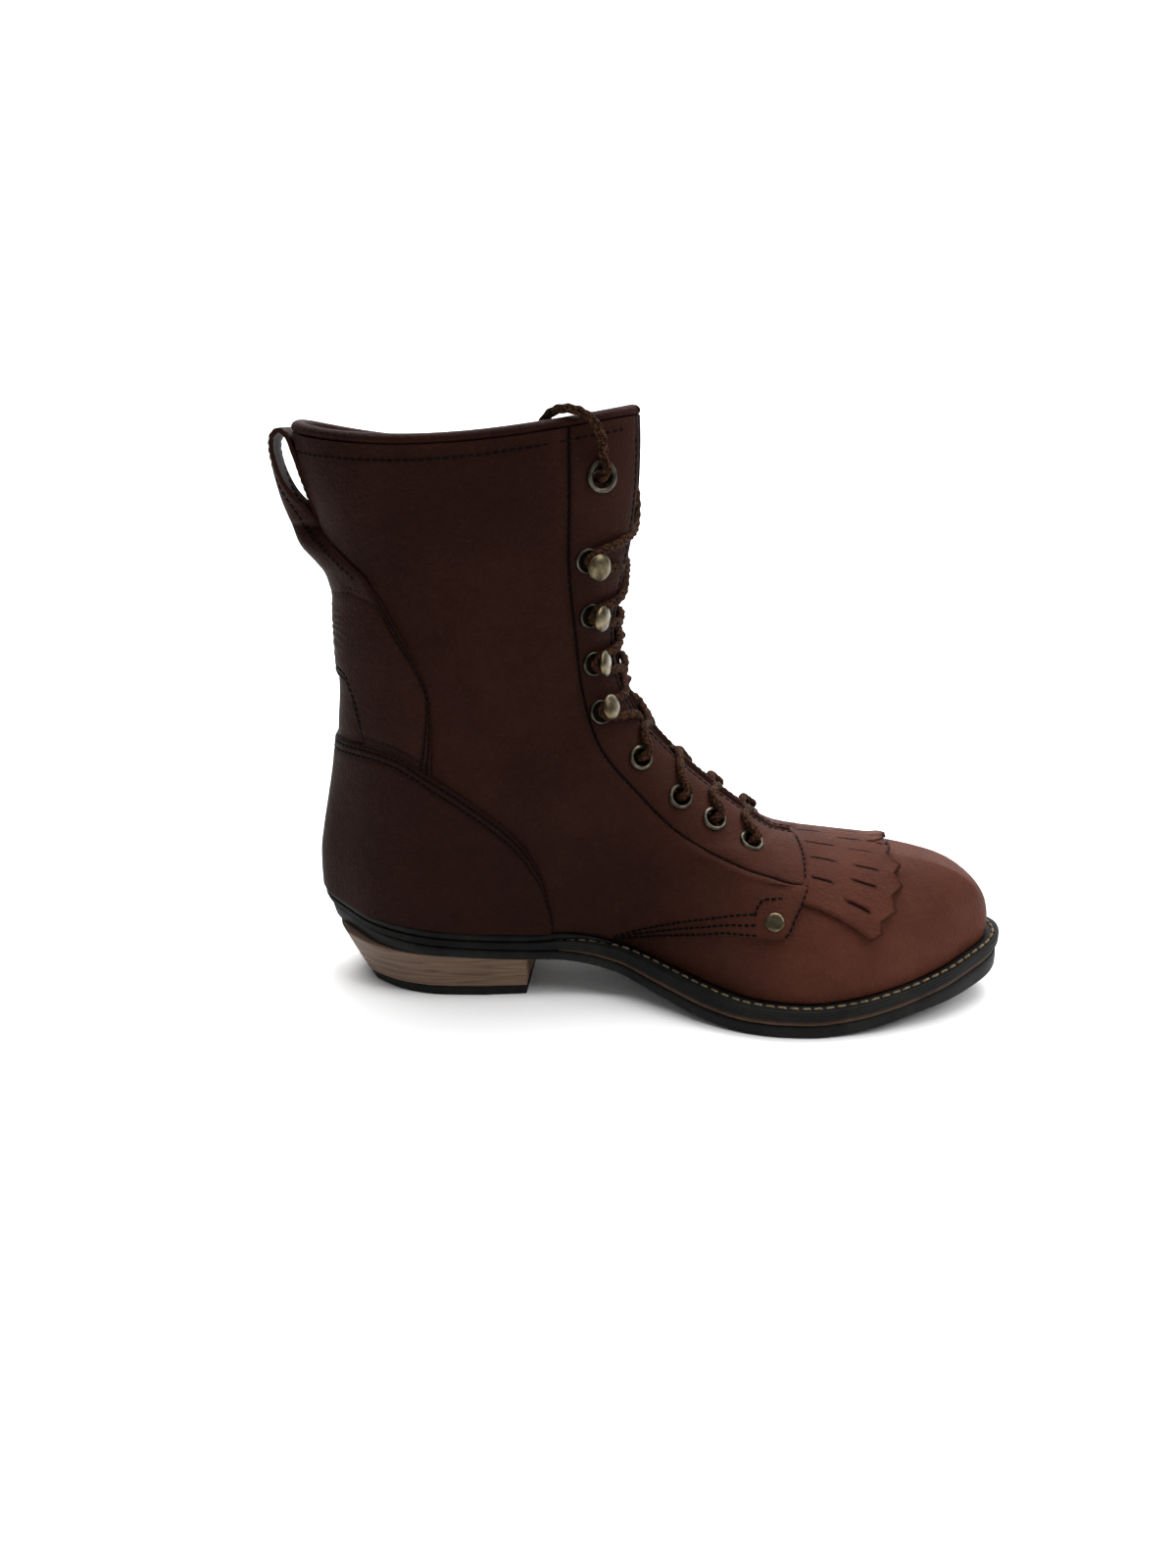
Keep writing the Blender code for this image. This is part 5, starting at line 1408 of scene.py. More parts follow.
def ring_caps(count, first):
    """Faces that close a ring of points across the sole, between its inner and outer side."""
    half = count // 2
    faces = []
    for i in range(half):
        j, k = (count - i) % count, count - i - 1
        if i == 0:
            faces.append([first, first + 1, first + k])
        elif i + 1 == k:
            faces.append([first + i, first + i + 1, first + j])
        else:
            faces.append([first + i, first + i + 1, first + k, first + j])
    return faces


def across_sole(rows, low=True):
    """Faces of rings stacked up on the sole, closed across at the top and, if low, at the bottom."""
    count = len(rows[0])
    faces = [list(face) for face in quads(len(rows), count, closed=True)]
    if low:
        faces += [face[::-1] for face in ring_caps(count, 0)]
    return faces + ring_caps(count, count * (len(rows) - 1))


def build_outsole(look):
    rows = []
    for share, inset in OUTSOLE_SECTION:
        tuck = TUCK["outsole_bottom"] + (TUCK["outsole_top"] - TUCK["outsole_bottom"]) * share
        rows.append(sole_loop(inset, lambda x, s=share: sole_bottom(x) + outsole_thick(x) * s, tuck))
    add("outsole_rubber", np.concatenate(rows), across_sole(rows), look, ("outsole",))


def build_midsole(look):
    rows = []
    for share, inset in MIDSOLE_SECTION:
        def height(x, s=share):
            return midsole_bottom(x) - MIDSOLE_LAP + (midsole_thick(x) + 2 * MIDSOLE_LAP) * s
        rows.append(sole_loop(inset, height, start=MIDSOLE_START))
    faces = quads(len(rows), len(rows[0]), closed=True)
    add("midsole_layer", np.concatenate(rows), faces, look, ("midsole",))


def build_welt(look):
    """Strip all round: ridged side, softly rounded lip, a stitch groove and a bed for the upper."""
    shares = np.linspace(*WELT_RIDGED, 6 * WELT_RIDGES + 1)
    ridges = WELT_RIDGE_DEPTH * (1 - np.cos(2 * math.pi * WELT_RIDGES * shares)) / 2
    rows = []
    for share, inset in (*WELT_FOOT, *zip(shares, WELT_SIDE_INSET + ridges), *WELT_LIP):
        tuck = TUCK["welt_bottom"] + (TUCK["welt_top"] - TUCK["welt_bottom"]) * share
        rows.append(sole_loop(inset, lambda x, s=share: welt_bottom(x) + welt_thick(x) * s, tuck))
    for inset, drop in WELT_TOP:
        rows.append(sole_loop(inset, lambda x, d=drop: welt_top(x) - d, TUCK["welt_top"]))
    faces = quads(len(rows), len(rows[0]), closed=True)
    add("welt_strip", np.concatenate(rows), faces, look, ("welt",))


def build_welt_stitches(look):
    angles = np.linspace(math.acos(1 - 2 * WELT_STITCH_START / SOLE_LENGTH), math.pi, 400)
    x = SOLE_LENGTH * (1 - np.cos(angles)) / 2
    inset = np.interp(x, *np.array(WELT_STITCH_INSET).T)
    lines = []
    for side in (-1, 1):
        plan = sole_edge(angles, side, inset)
        lines.append(np.column_stack([plan, welt_top(plan[:, 0]) + WELT_STITCH_LIFT]))
    line = np.concatenate([lines[0], lines[1][-2::-1]])
    normals = np.tile((0.0, 0.0, 1.0), (len(line), 1))
    points, faces = stitch_row(line, normals, *WELT_STITCH, WELT_STITCH_SINK)
    add("welt_stitches", points, faces, look)


def build_rand(look):
    """Rounded bead on the welt round the heel, thinning out at the waist."""
    last = math.acos(1 - 2 * RAND_END / SOLE_LENGTH)
    rows = []
    for turn in np.linspace(-last, last, 161):
        side = -1 if turn < 0 else 1
        x = SOLE_LENGTH * (1 - math.cos(abs(turn))) / 2
        ring = []
        for inset, share in RAND_SECTION:
            tuck = TUCK["welt_top"] * (1 - share) * (1 - float(ease(0.0, TUCK_END, x)))
            draw = RAND_DRAW * float(ease(RAND_DRAW_START, RAND_END, x))
            plan = sole_edge(np.array([abs(turn)]), side, np.array([RAND_INSET + inset + tuck + draw]))[0]
            height = max(float(rand_thick(plan[0])), RAND_LEAST)
            ring.append((plan[0], plan[1], float(rand_bottom(plan[0])) - RAND_LAP + share * height))
        rows.append(ring)
    add("heel_rand_bead", np.concatenate(rows), tube(rows), look, ("heel_rand",))


def build_insole(look):
    rows = []
    for inset, drop in INSOLE_SECTION:
        rows.append(sole_loop(inset, lambda x, d=drop: rand_top(x) + INSOLE_RISE - d))
    add("insole_bed", np.concatenate(rows), across_sole(rows, low=False), look, ("insole",))


def heel_sides(depth, inset):
    """Heel edge at a depth from 0 under the outsole to 1 on the floor, as inner and outer rows of x, y."""
    to_back = np.sin(np.linspace(math.pi / 2, 0, HEEL_STEPS + 1))
    top_back = HEEL_INSET + TUCK["stack_top"]
    low_breast = HEEL_BREAST - HEEL_BREAST_LEAN
    x_top = HEEL_BREAST - (HEEL_BREAST - top_back) * to_back
    x_low = low_breast - (low_breast - HEEL_BACK_BOTTOM) * to_back
    share = (x_top - top_back) / (HEEL_BREAST - top_back)
    angles = np.arccos(1 - 2 * x_top / SOLE_LENGTH)
    widest_angle = math.acos(1 - 2 * HEEL_WIDEST_X / SOLE_LENGTH)
    round_back = np.sqrt(1 - (1 - np.clip(share / HEEL_ROUND_SHARE, 0, 1)) ** HEEL_ROUNDNESS)
    sides = []
    for side in (-1, 1):
        full = np.abs(sole_edge(angles, side)[:, 1]) - HEEL_INSET
        widest = abs(sole_edge(np.array([widest_angle]), side)[0, 1]) - HEEL_INSET
        half_top = np.minimum(full, widest * round_back)
        narrow = HEEL_NARROW_MIDDLE + (HEEL_NARROW_BREAST - HEEL_NARROW_MIDDLE) * ease(0.5, 1.0, share)
        x = x_top + (x_low - x_top) * depth
        half = half_top * (1 + (narrow - 1) * depth)
        shrink = 1 - inset / max(half.max(), 1.0)
        middle = (x.min() + x.max()) / 2
        drawn = middle + (x - middle) * (1 - inset / HEEL_HALF_LENGTH)
        sides.append(np.column_stack([drawn, side * half * shrink]))
    return sides


def heel_ring(depth, inset, height):
    """Closed ring round the heel at a depth and an inset, with heights read from a function of x."""
    inner, outer = [np.column_stack([plan, height(plan[:, 0])]) for plan in heel_sides(depth, inset)]
    return np.concatenate([inner, outer[:0:-1]])


def build_heel(stack_look, lift_look):
    def stack_top(x):
        return sole_bottom(x) - HEEL_TOP_GAP

    def depth_at(share):
        """Depth of the stack's side at a share of the way up, following the under-slung back."""
        return float(np.interp(share, (0.0, 0.5, 1.0), (TOPLIFT_DEPTH, HEEL_WAIST_DEPTH, 0.0)))

    rows = []
    low = TOPLIFT_HEIGHT + HEEL_LOW_GAP
    for layer in range(HEEL_LAYERS):
        for part, inset in HEEL_LAYER_SECTION:
            share = (layer + part) / HEEL_LAYERS
            rows.append(heel_ring(depth_at(share), inset, lambda x, s=share: low + (stack_top(x) - low) * s))
    add("heel_lifts", np.concatenate(rows), across_sole(rows), stack_look, ("heel_stack",))
    rows = []
    for share, inset in TOPLIFT_SECTION:
        depth = 1.0 + (TOPLIFT_DEPTH - 1.0) * share
        rows.append(heel_ring(depth, inset, lambda x, s=share: np.full_like(x, TOPLIFT_HEIGHT * s)))
    faces = across_sole(rows)
    add("heel_toplift_rubber", np.concatenate(rows), faces, lift_look, ("heel_toplift",))


# Upper

def build_shell(look, lining):
    """The wall of the upper: the vamp shows outside, the lining inside."""
    rows = np.concatenate([np.linspace(0, THROAT_ROW, 91), np.linspace(THROAT_ROW, TOP_ROW, 60)[1:]])
    grid = []
    for row in rows:
        inner = -EDGE_TURN[-1](row) * np.linspace(1, 0, 111)
        outer = EDGE_TURN[1](row) * np.linspace(0, 1, 111)[1:]
        turns = np.concatenate([inner, outer])
        points = surface(turns, row)
        grid.append(points + surface_normal(turns, row) * waves(points, *SHELL_WAVES)[:, None])
    grid = np.array(grid)
    faces = punched(grid.reshape(-1, 3), quads(*grid.shape[:2]))
    made = add("upper_shell", grid.reshape(-1, 3), faces[:, ::-1], look, ("upper",))
    welded(made)
    eased(made, TOE_EASE_START, TOE_EASE_HALF, TOE_EASE_ROUNDS)
    made.data.materials.append(lining)
    thickened(made, WALL).material_offset = 1


def quarter_edges(name):
    """Edge curves of a quarter: back, front edge with the seam, foot along the welt, and collar."""
    side = SIDES[name]
    seam = side_path(EYESTAY_SEAM[::-1], side)
    front = side_path(QUARTER_FRONT, side, 40)
    foot = side_path(QUARTER_FOOT, side, 80)
    last_turn = abs(foot[0, 0])
    welt_line = np.column_stack([side * np.linspace(0, last_turn, 120), np.zeros(120)])
    low = np.concatenate([welt_line, foot[1:]])
    right = np.concatenate([front, seam[1:]])
    top = seam[-1, 1]
    left = np.column_stack([np.zeros(60), np.linspace(0, top, 60)])
    high = np.column_stack([np.linspace(0, seam[-1, 0], 80), np.full(80, top)])
    return [by_length(curve) for curve in (left, right, low, high)]


def add_sheet(name, points, faces, flip, look, stands_for=(), edge=None):
    """Piece from a grid of points, with its faces turned over if flip."""
    return add(name, points.reshape(-1, 3), faces[:, ::-1] if flip else faces, look, stands_for, edge)


def build_quarter(name, look, threads):
    places = patch(*quarter_edges(name), ladder(150.0, 70, start=False), ladder(190.0, 90))
    flat, stand, gaps, burnish_and_shade = panel(
        places, QUARTER_OUT, dict.fromkeys(("right", "low"), ROLL), puff=QUARTER_PUFF)
    stand = stand + waves(flat, *QUARTER_WAVES) * np.clip(gaps["right"] / QUARTER_WAVES_START, 0, 1)
    stand = np.where(stand > 0, stand - crease_depth(flat, name), stand)
    points = laid(places, stand)
    faces = quads(*points.shape[:2])
    add_sheet(f"quarter_{name}", points, faces, SIDES[name] > 0, look, edge=burnish_and_shade)
    line = inset_line(points, gaps, "right", SEAM_STITCHES)
    threads.append(stitch_row(line, line_normals(line), *SEAM_STITCH))


def build_eyestay(name, look, threads):
    """Facing between its seam and the throat's edge, from the collar to the quarter's front edge."""
    side = SIDES[name]
    seam = side_path(EYESTAY_SEAM[::-1], side)
    front_line = spline(FACING_FRONT, 60)
    front = vamp_at(front_line[:, 0], front_line[:, 1], side)
    front = np.concatenate([seam[:1], front])
    ridge_rows = np.linspace(front[-1, 1], THROAT_ROW, 8)[1:]
    throat_rows = np.linspace(THROAT_ROW, seam[-1, 1], 120)[1:]
    rows = np.concatenate([ridge_rows, throat_rows])
    throat = np.column_stack([side * (EDGE_TURN[side](rows) - 0.004), rows])
    right = np.concatenate([front[-1:], throat])
    high = np.column_stack([np.linspace(seam[-1, 0], throat[-1, 0], 40), np.full(40, seam[-1, 1])])
    curves = [by_length(curve) for curve in (seam, right, front, high)]
    places = patch(*curves, ladder(32.0, 6), ladder(240.0, 270))
    flat, stand, gaps, burnish_and_shade = panel(
        places, EYESTAY_OUT, {"left": EYESTAY_SEAM_ROLL, "right": ROLL, "low": ROLL},
        grooves=[(edge, FACING_STITCHES, FINE_GROOVE) for edge in ("right", "low")])
    stand = stand + waves(flat, *FACING_WAVES) * np.clip(gaps["left"] / FACING_WAVES_START, 0, 1)
    points = laid(places, stand)
    faces = punched(points.reshape(-1, 3), quads(*points.shape[:2]))
    add_sheet(f"facing_{name}", points, faces, side > 0, look, (f"eyestay_{name}",), burnish_and_shade)
    for edge in ("right", "low"):
        line = inset_line(points, gaps, edge, FACING_STITCHES)[6:-6]
        threads.append(stitch_row(line, line_normals(line), *FACING_STITCH))


def side_sheet(low, high, up):
    """Places between two edges that run round the back, each an array of (x, z, side)."""
    v = up[:, None]
    z = low[None, :, 1] * (1 - v) + high[None, :, 1] * v
    low_gap = low[:, 0] - back_x(low[:, 1])
    high_gap = high[:, 0] - back_x(high[:, 1])
    from_back = low_gap[None] * (1 - v) + high_gap[None] * v
    return locate(back_x(z) + from_back, z, np.broadcast_to(low[None, :, 2], z.shape))


def spread(start, end, share):
    """Position from start to end, with close steps at both ends."""
    return start + (end - start) * (1 - np.cos(math.pi * share)) / 2


def round_columns(count):
    """Shares from the back to a front end, closer together near the end."""
    near = np.array(EDGE_LADDER[::-1]) / 100.0
    half = np.concatenate([np.linspace(0, 1 - near[0], count)[:-1], 1 - near])
    half = np.arccos(1 - 2 * half) / math.pi
    return np.concatenate([-half[:0:-1], half])


counter_edge = smooth(*zip(*COUNTER_EDGE))
strap_top = smooth(*zip(*STRAP_TOP_EDGE))
strap_arch = smooth(*zip(*STRAP_ARCH_EDGE))


def build_counter(look, threads):
    shares = round_columns(60)
    side = np.where(shares < 0, -1.0, 1.0)
    end = COUNTER_EDGE[-1][0]
    x_high = spread(float(back_x(counter_edge(0.0))), end, np.abs(shares))
    high = np.column_stack([x_high, counter_edge(x_high), side])
    x_low = spread(float(back_x(feather(4.0) + COUNTER_FOOT)), end, np.abs(shares))
    low = np.column_stack([x_low, feather(x_low) + COUNTER_FOOT, side])
    places = side_sheet(low, high, ladder(75.0, 30, start=False))
    flat, stand, gaps, burnish_and_shade = panel(
        places, OVERLAY_OUT, dict.fromkeys(("high", "left", "right"), ROLL),
        grooves=[("high", distance, OVERLAY_GROOVE) for distance in COUNTER_STITCHES])
    stand = stand + waves(flat, *COUNTER_WAVES) * np.clip(gaps["high"] / COUNTER_WAVES_START, 0, 1)
    points = laid(places, stand)
    faces = quads(*points.shape[:2])
    add_sheet("counter_leather", points, faces, True, look, ("counter",), burnish_and_shade)
    for distance in COUNTER_STITCHES:
        line = inset_line(points, gaps, "high", distance)
        threads.append(stitch_row(line, line_normals(line), *OVERLAY_STITCH))


def build_back_strap(look, threads):
    shares = round_columns(50)
    side = np.where(shares < 0, -1.0, 1.0)
    x = spread(float(back_x(STRAP_MIDDLE_Z)), STRAP_TOP_EDGE[-1][0], np.abs(shares))
    on_arch = x < STRAP_ARCH_EDGE[-1][0]
    foot = np.where(on_arch, strap_arch(x), counter_edge(x) - STRAP_LAP)
    low = np.column_stack([x, foot, side])
    high = np.column_stack([x, strap_top(x), side])
    places = side_sheet(low, high, ladder(48.0, 64))
    edges = ("high", "left", "right")
    grooves = [(edge, distance, OVERLAY_GROOVE) for edge in edges for distance in STAY_STITCHES]
    grooves += [("low", distance, FINE_GROOVE) for distance in ARCH_STITCHES]
    flat, stand, gaps, burnish_and_shade = panel(places, STAY_OUT, dict.fromkeys((*edges, "low"), ROLL), grooves)
    stand = stand + waves(flat, *STAY_WAVES)
    fold = np.sin(2 * math.pi * (flat[..., 2] + waves(flat, *STAY_FOLD_WAVES)) / STAY_FOLD_PITCH)
    fold = fold * np.exp(-(((flat[..., 0] - STAY_FOLD_X) / STAY_FOLD_HALF) ** 2))
    stand += STAY_FOLD_HEIGHT * fold * np.clip(gaps["low"] / STAY_FOLD_START, 0, 1)
    points = laid(places, stand)
    faces = quads(*points.shape[:2])
    add_sheet("back_stay", points, faces, True, look, ("back_strap",), burnish_and_shade)
    lines = []
    for distance in STAY_STITCHES:
        for edge in ("left", "right"):
            keep = (gaps["high"][:, 0] > distance) & (gaps["low"][:, 0] > STAY_STITCH_CLEAR)
            lines.append(inset_line(points, gaps, edge, distance)[keep])
        line = inset_line(points, gaps, "high", distance)
        lines += [line[(line[:, 2] < STAY_STITCH_TOP) & (side == s)] for s in (-1, 1)]
    lines += [inset_line(points, gaps, "low", distance)[on_arch] for distance in ARCH_STITCHES]
    for line in lines:
        threads.append(stitch_row(line, line_normals(line), *OVERLAY_STITCH))


def build_tongue(look):
    rows = np.linspace(*TONGUE_ROWS, 60)
    turns = np.linspace(math.pi - TONGUE_HALF_TURN, math.pi + TONGUE_HALF_TURN, 41)
    turns = np.where(turns > math.pi, turns - 2 * math.pi, turns)
    row, turn = np.meshgrid(rows, turns, indexing="ij")
    places = np.stack([turn, row], axis=-1)
    flat = surface(turn, row)
    points = laid(places, -WALL - TONGUE_IN + waves(flat, *TONGUE_WAVES))
    faces = quads(*points.shape[:2])
    thickened(add_sheet("tongue_leather", points, faces, True, look, ("tongue",)), TONGUE_THICK)


def over_ridge(x, y, points, stand):
    """The points, with those close to the ridge put on a smooth arch over it."""
    half = KILTIE_RIDGE_HALF
    inner, outer = [laid(vamp_at(x, np.full_like(x, half), side), stand) for side in (-1, 1)]
    crown = np.stack([x, 0 * x, ridge(x) + stand], axis=-1)
    t = (y / half)[..., None]
    arch = inner * t * (t - 1) / 2 + crown * (1 - t * t) + outer * t * (t + 1) / 2
    return np.where(np.abs(t) < 1, arch, points)


def build_kiltie(look):
    """Fringed flap on the vamp: two rows of slits, and a front edge cut to points."""
    levels = [smooth(column(KILTIE, KILTIE_COLUMNS, "across"), column(KILTIE, KILTIE_COLUMNS, name))
              for name in KILTIE_COLUMNS[1:]]
    tooth_y, tooth_x = np.array(KILTIE_TEETH).T
    fixed = set(tooth_y) | set(-tooth_y)
    slits = {}
    for name, places in KILTIE_SLITS.items():
        for y in sorted({s * place for place in places for s in (-1, 1)}):
            slits.setdefault(y, []).append(name)
    for y in slits:
        fixed -= {f for f in fixed if abs(f - y) < KILTIE_LEAST_STEP}
    for y in slits:
        fixed |= {y - KILTIE_SLIT_HALF, y + KILTIE_SLIT_HALF}
    across = sorted(fixed)
    for y in np.linspace(-tooth_y[-1], tooth_y[-1], KILTIE_ACROSS):
        if min(abs(y - f) for f in fixed) > KILTIE_LEAST_STEP:
            across.append(y)
    across = np.array(sorted(across))
    marks = [level(np.abs(across)) for level in levels]
    marks.append(np.interp(np.abs(across), tooth_y, tooth_x))
    rows, bands = [marks[0]], []
    for band, (low, high, steps) in enumerate(zip(marks, marks[1:], KILTIE_STEPS)):
        for step in range(steps):
            rows.append(low + (high - low) * (step + 1) / steps)
            bands.append(band)
    x = np.array(rows)
    y = across * (1 - KILTIE_NARROWING * np.clip(tooth_x[-1] - x, 0, None))
    places = vamp_at(x, np.abs(y), np.where(y < 0, -1.0, 1.0))
    flat = surface(places[..., 0], places[..., 1])
    tip = np.clip((x - marks[4]) / (marks[5] - marks[4]), 0, 1)
    stand = KILTIE_OUT + waves(flat, *KILTIE_WAVES) + KILTIE_TIP_LIFT * tip ** 2
    points = over_ridge(x, y, laid(places, stand), stand)
    burnish_and_shade = EDGE_BURNISH * np.clip(x - marks[5] + 1, 0, 1)
    for y0, names in slits.items():
        beside = np.abs(np.abs(across - y0) - KILTIE_SLIT_HALF) < 1e-6
        for name in names:
            low, high = marks[SLIT_BANDS[name]], marks[SLIT_BANDS[name] + 1]
            burnish_and_shade = np.where(beside & (x >= low - 0.1) & (x <= high + 0.1), 1.0, burnish_and_shade)
    keep = []
    for face in quads(*x.shape):
        row, place = divmod(int(face[0]), x.shape[1])
        middle = (across[place] + across[place + 1]) / 2
        cut = [SLIT_BANDS[name] for y0 in slits if abs(y0 - middle) < 1e-6 for name in slits[y0]]
        if bands[row] not in cut:
            keep.append(face[::-1])
    made = add("kiltie_fringe", points.reshape(-1, 3), keep, look, ("kiltie",), edge=burnish_and_shade)
    thickened(made, KILTIE_THICK)


def build_binding(look):
    first = -float(EDGE_TURN[-1](TOP_ROW)) + BINDING_END
    last = float(EDGE_TURN[1](TOP_ROW)) - BINDING_END
    turns = np.linspace(first, last, 150)
    normal = surface_normal(turns, TOP_ROW)
    centre = surface(turns, TOP_ROW)
    angles = np.linspace(0, 2 * math.pi, BINDING_SIDES, endpoint=False)
    aside = np.cos(angles) * (BINDING_RADIUS + BINDING_EXTRA_WIDTH)
    upward = np.outer(np.sin(angles) * BINDING_RADIUS, (0, 0, 1))
    rows = []
    for point, out in zip(centre, normal):
        middle = point - out * (WALL / 2) + (0, 0, BINDING_RADIUS - BINDING_SINK)
        flat_out = np.array((out[0], out[1], 0.0)) / math.hypot(out[0], out[1])
        rows.append(middle + np.outer(aside, flat_out) + upward)
    add("collar_roll", np.concatenate(rows), tube(rows), look, ("collar_binding",))


def sew(threads, places, out, stitch):
    """Stitches along places of the last, at a distance out from it."""
    line = laid(places, np.full(len(places), out))
    threads.append(stitch_row(line, surface_normal(places[:, 0], places[:, 1]), *stitch))


def build_collar_stitches(threads):
    start, end = COLLAR_STITCH_ENDS
    for side in (-1, 1):
        turns = side * np.linspace(start, float(EDGE_TURN[side](COLLAR_STITCH_ROW)) - end, 200)
        places = np.column_stack([turns, np.full(200, COLLAR_STITCH_ROW)])
        sew(threads, places, QUARTER_OUT + COLLAR_STITCH_LIFT, COLLAR_STITCH)


def build_foot_stitches(threads):
    """Three rows that fan out from the waist to the rivet along the quarter's foot."""
    foot = spline(QUARTER_FOOT, 80)
    top = spline(FOOT_STITCH_TOP, 80)
    for side in SIDES.values():
        for share in FOOT_STITCH_SHARES:
            line = foot + (top - foot) * share
            line = line[line[:, 0] < FOOT_STITCH_END]
            places = locate(line[:, 0], line[:, 1], side)
            sew(threads, places, QUARTER_OUT + FOOT_STITCH_LIFT, OVERLAY_STITCH)
        sew(threads, side_path(RIVET_STITCH, side, 60), QUARTER_OUT + FOOT_STITCH_LIFT, OVERLAY_STITCH)


def build_pull_loop(look, threads):
    """Strap that widens out of the stay, turns over at the collar and comes down on the shaft."""
    x, z, near, far, width = spline(LOOP, LOOP_STEPS).T
    tangent = np.gradient(np.column_stack([x, z]), axis=0)
    tangent /= np.linalg.norm(tangent, axis=1, keepdims=True)
    normal = np.column_stack([-tangent[:, 1], 0 * x, tangent[:, 0]])
    shares = np.sin(np.linspace(-math.pi / 2, math.pi / 2, LOOP_SHARES))
    on_shaft = 1 - ease(*LOOP_LEAVES, z)
    edge_out = np.interp(z, *np.array(LOOP_EDGE_OUT).T)
    bows, widths = {}, {}
    for side, bow in ((-1, near), (1, far)):
        edge = laid(locate(x + bow, z, side), edge_out)
        bows[side] = bow + (edge[:, 0] - x - bow) * on_shaft
        widths[side] = width + (np.abs(edge[:, 1]) - width) * on_shaft

    def at(share, height):
        """Points of the strap at shares of its half width, at heights over its middle layer."""
        side = -1 if np.max(share) < 0 else 1
        bow = bows[side] * np.abs(share) ** LOOP_BOW_POWER
        middle = np.column_stack([x + bow, share * widths[side], z])
        return middle + normal * np.asarray(height)[..., None]

    half = LOOP_THICK / 2
    from_stitch = (1 - np.abs(shares)) * LOOP_HALF_WIDTH - LOOP_STITCHES
    thick = half * (1 - LOOP_GROOVE * np.exp(-((from_stitch / GROOVE_HALF) ** 2)))
    front = [at(share, np.full(len(x), height)) for share, height in zip(shares, thick)]
    back = [at(share, np.full(len(x), -height)) for share, height in zip(shares, thick)]
    rows = np.swapaxes(np.array(front + back[::-1]), 0, 1)
    made = add("pull_loop_strap", rows.reshape(-1, 3), tube(rows), look, ("pull_loop",))
    rounded(made, LOOP_ROUNDING)
    for side in (-1, 1):
        for sign in (1, -1):
            height = np.full(len(x), sign * half * LOOP_STITCH_HEIGHT)
            line = at(side * (1 - LOOP_STITCHES / widths[side]), height)[LOOP_STITCH_START:]
            threads.append(stitch_row(line, sign * normal[LOOP_STITCH_START:], *FACING_STITCH))


# Metal and laces

def build_hardware(brass, dark_metal):
    out = EYESTAY_OUT + METAL_LIFT
    angles = np.linspace(0, 2 * math.pi, NECK_SIDES, endpoint=False)
    for name, side in SIDES.items():
        places = [(f"{k + 1}", place, EYELET_SCALE) for k, place in enumerate(EYELET_PLACES)]
        places.append(("top", TOP_EYELET_PLACE, TOP_EYELET_SCALE))
        for label, place, scale in places:
            points, faces = revolved(EYELET_PROFILE)
            add(f"eyelet_ring_{name}_{label}", seated(points * scale, place, side, out), faces, dark_metal,
                (f"eyelet_{name}_{label}",))
        for k, (place, tilt, rise) in enumerate(zip(HOOK_PLACES, HOOK_TILTS, HOOK_RISES)):
            points, faces = revolved(HOOK_BASE_PROFILE)
            base = (points - (HOOK_BASE_BACK, 0.0, 0.0), faces)
            neck = []
            for height, radius, forward in HOOK_NECK:
                across = forward + radius * np.cos(angles)
                upward = rise * height / HOOK_CAP_LIFT + radius * np.sin(angles)
                neck.append(np.column_stack([across, upward, np.full(NECK_SIDES, height)]))
            points, faces = joined([base, (np.concatenate(neck), quads(len(neck), NECK_SIDES, closed=True))])
            plate = add(f"hook_plate_{name}_{k + 1}", seated(points, place, side, out), faces, dark_metal,
                        (f"hook_{name}_{k + 1}",))
            points, faces = revolved(HOOK_CAP_PROFILE)
            lean = np.array(Matrix.Rotation(math.radians(tilt), 3, "Y"))
            points = points @ lean.T + (HOOK_CAP_FORWARD, rise, HOOK_CAP_LIFT)
            cap = add(f"hook_cap_{name}_{k + 1}", seated(points, place, side, out), faces, brass)
            cap.parent = plate
        points, faces = revolved(RIVET_PROFILE)
        add(f"rivet_head_{name}", seated(points, RIVET_PLACE, side, QUARTER_OUT + RIVET_LIFT), faces, brass,
            (f"rivet_{name}",))


def lace_at(place, side, forward, along, out):
    """Point at distances along the last, forward and up from a place, and out from it."""
    turn, row = locate(*place, side)
    turns = turn + side * math.copysign(1.0, forward) * np.linspace(0, 1.2, 120)
    turn = np.interp(abs(forward), run_length(surface(turns, row)), turns)
    rows = row + math.copysign(1.0, along) * np.linspace(0, 1.2, 60)
    row = np.interp(abs(along), run_length(surface(turn, rows)), rows)
    return laid(np.array((turn, row)), out)


def throat_middle(low, high, side, lift, share):
    """Point over the middle of the throat, a share of the way from a place up to the next one across."""
    row = locate(*low, side)[1] * (1 - share) + locate(*high, -side)[1] * share
    point = np.array([float(front_x(row)), 0.0, float(front_z(row))])
    return point + surface_normal(math.pi, row) * lift


def lace_course(place, side, *courses):
    """Points of one or more courses of the lace at a place."""
    return [lace_at(place, side, *step) for course in courses for step in course]


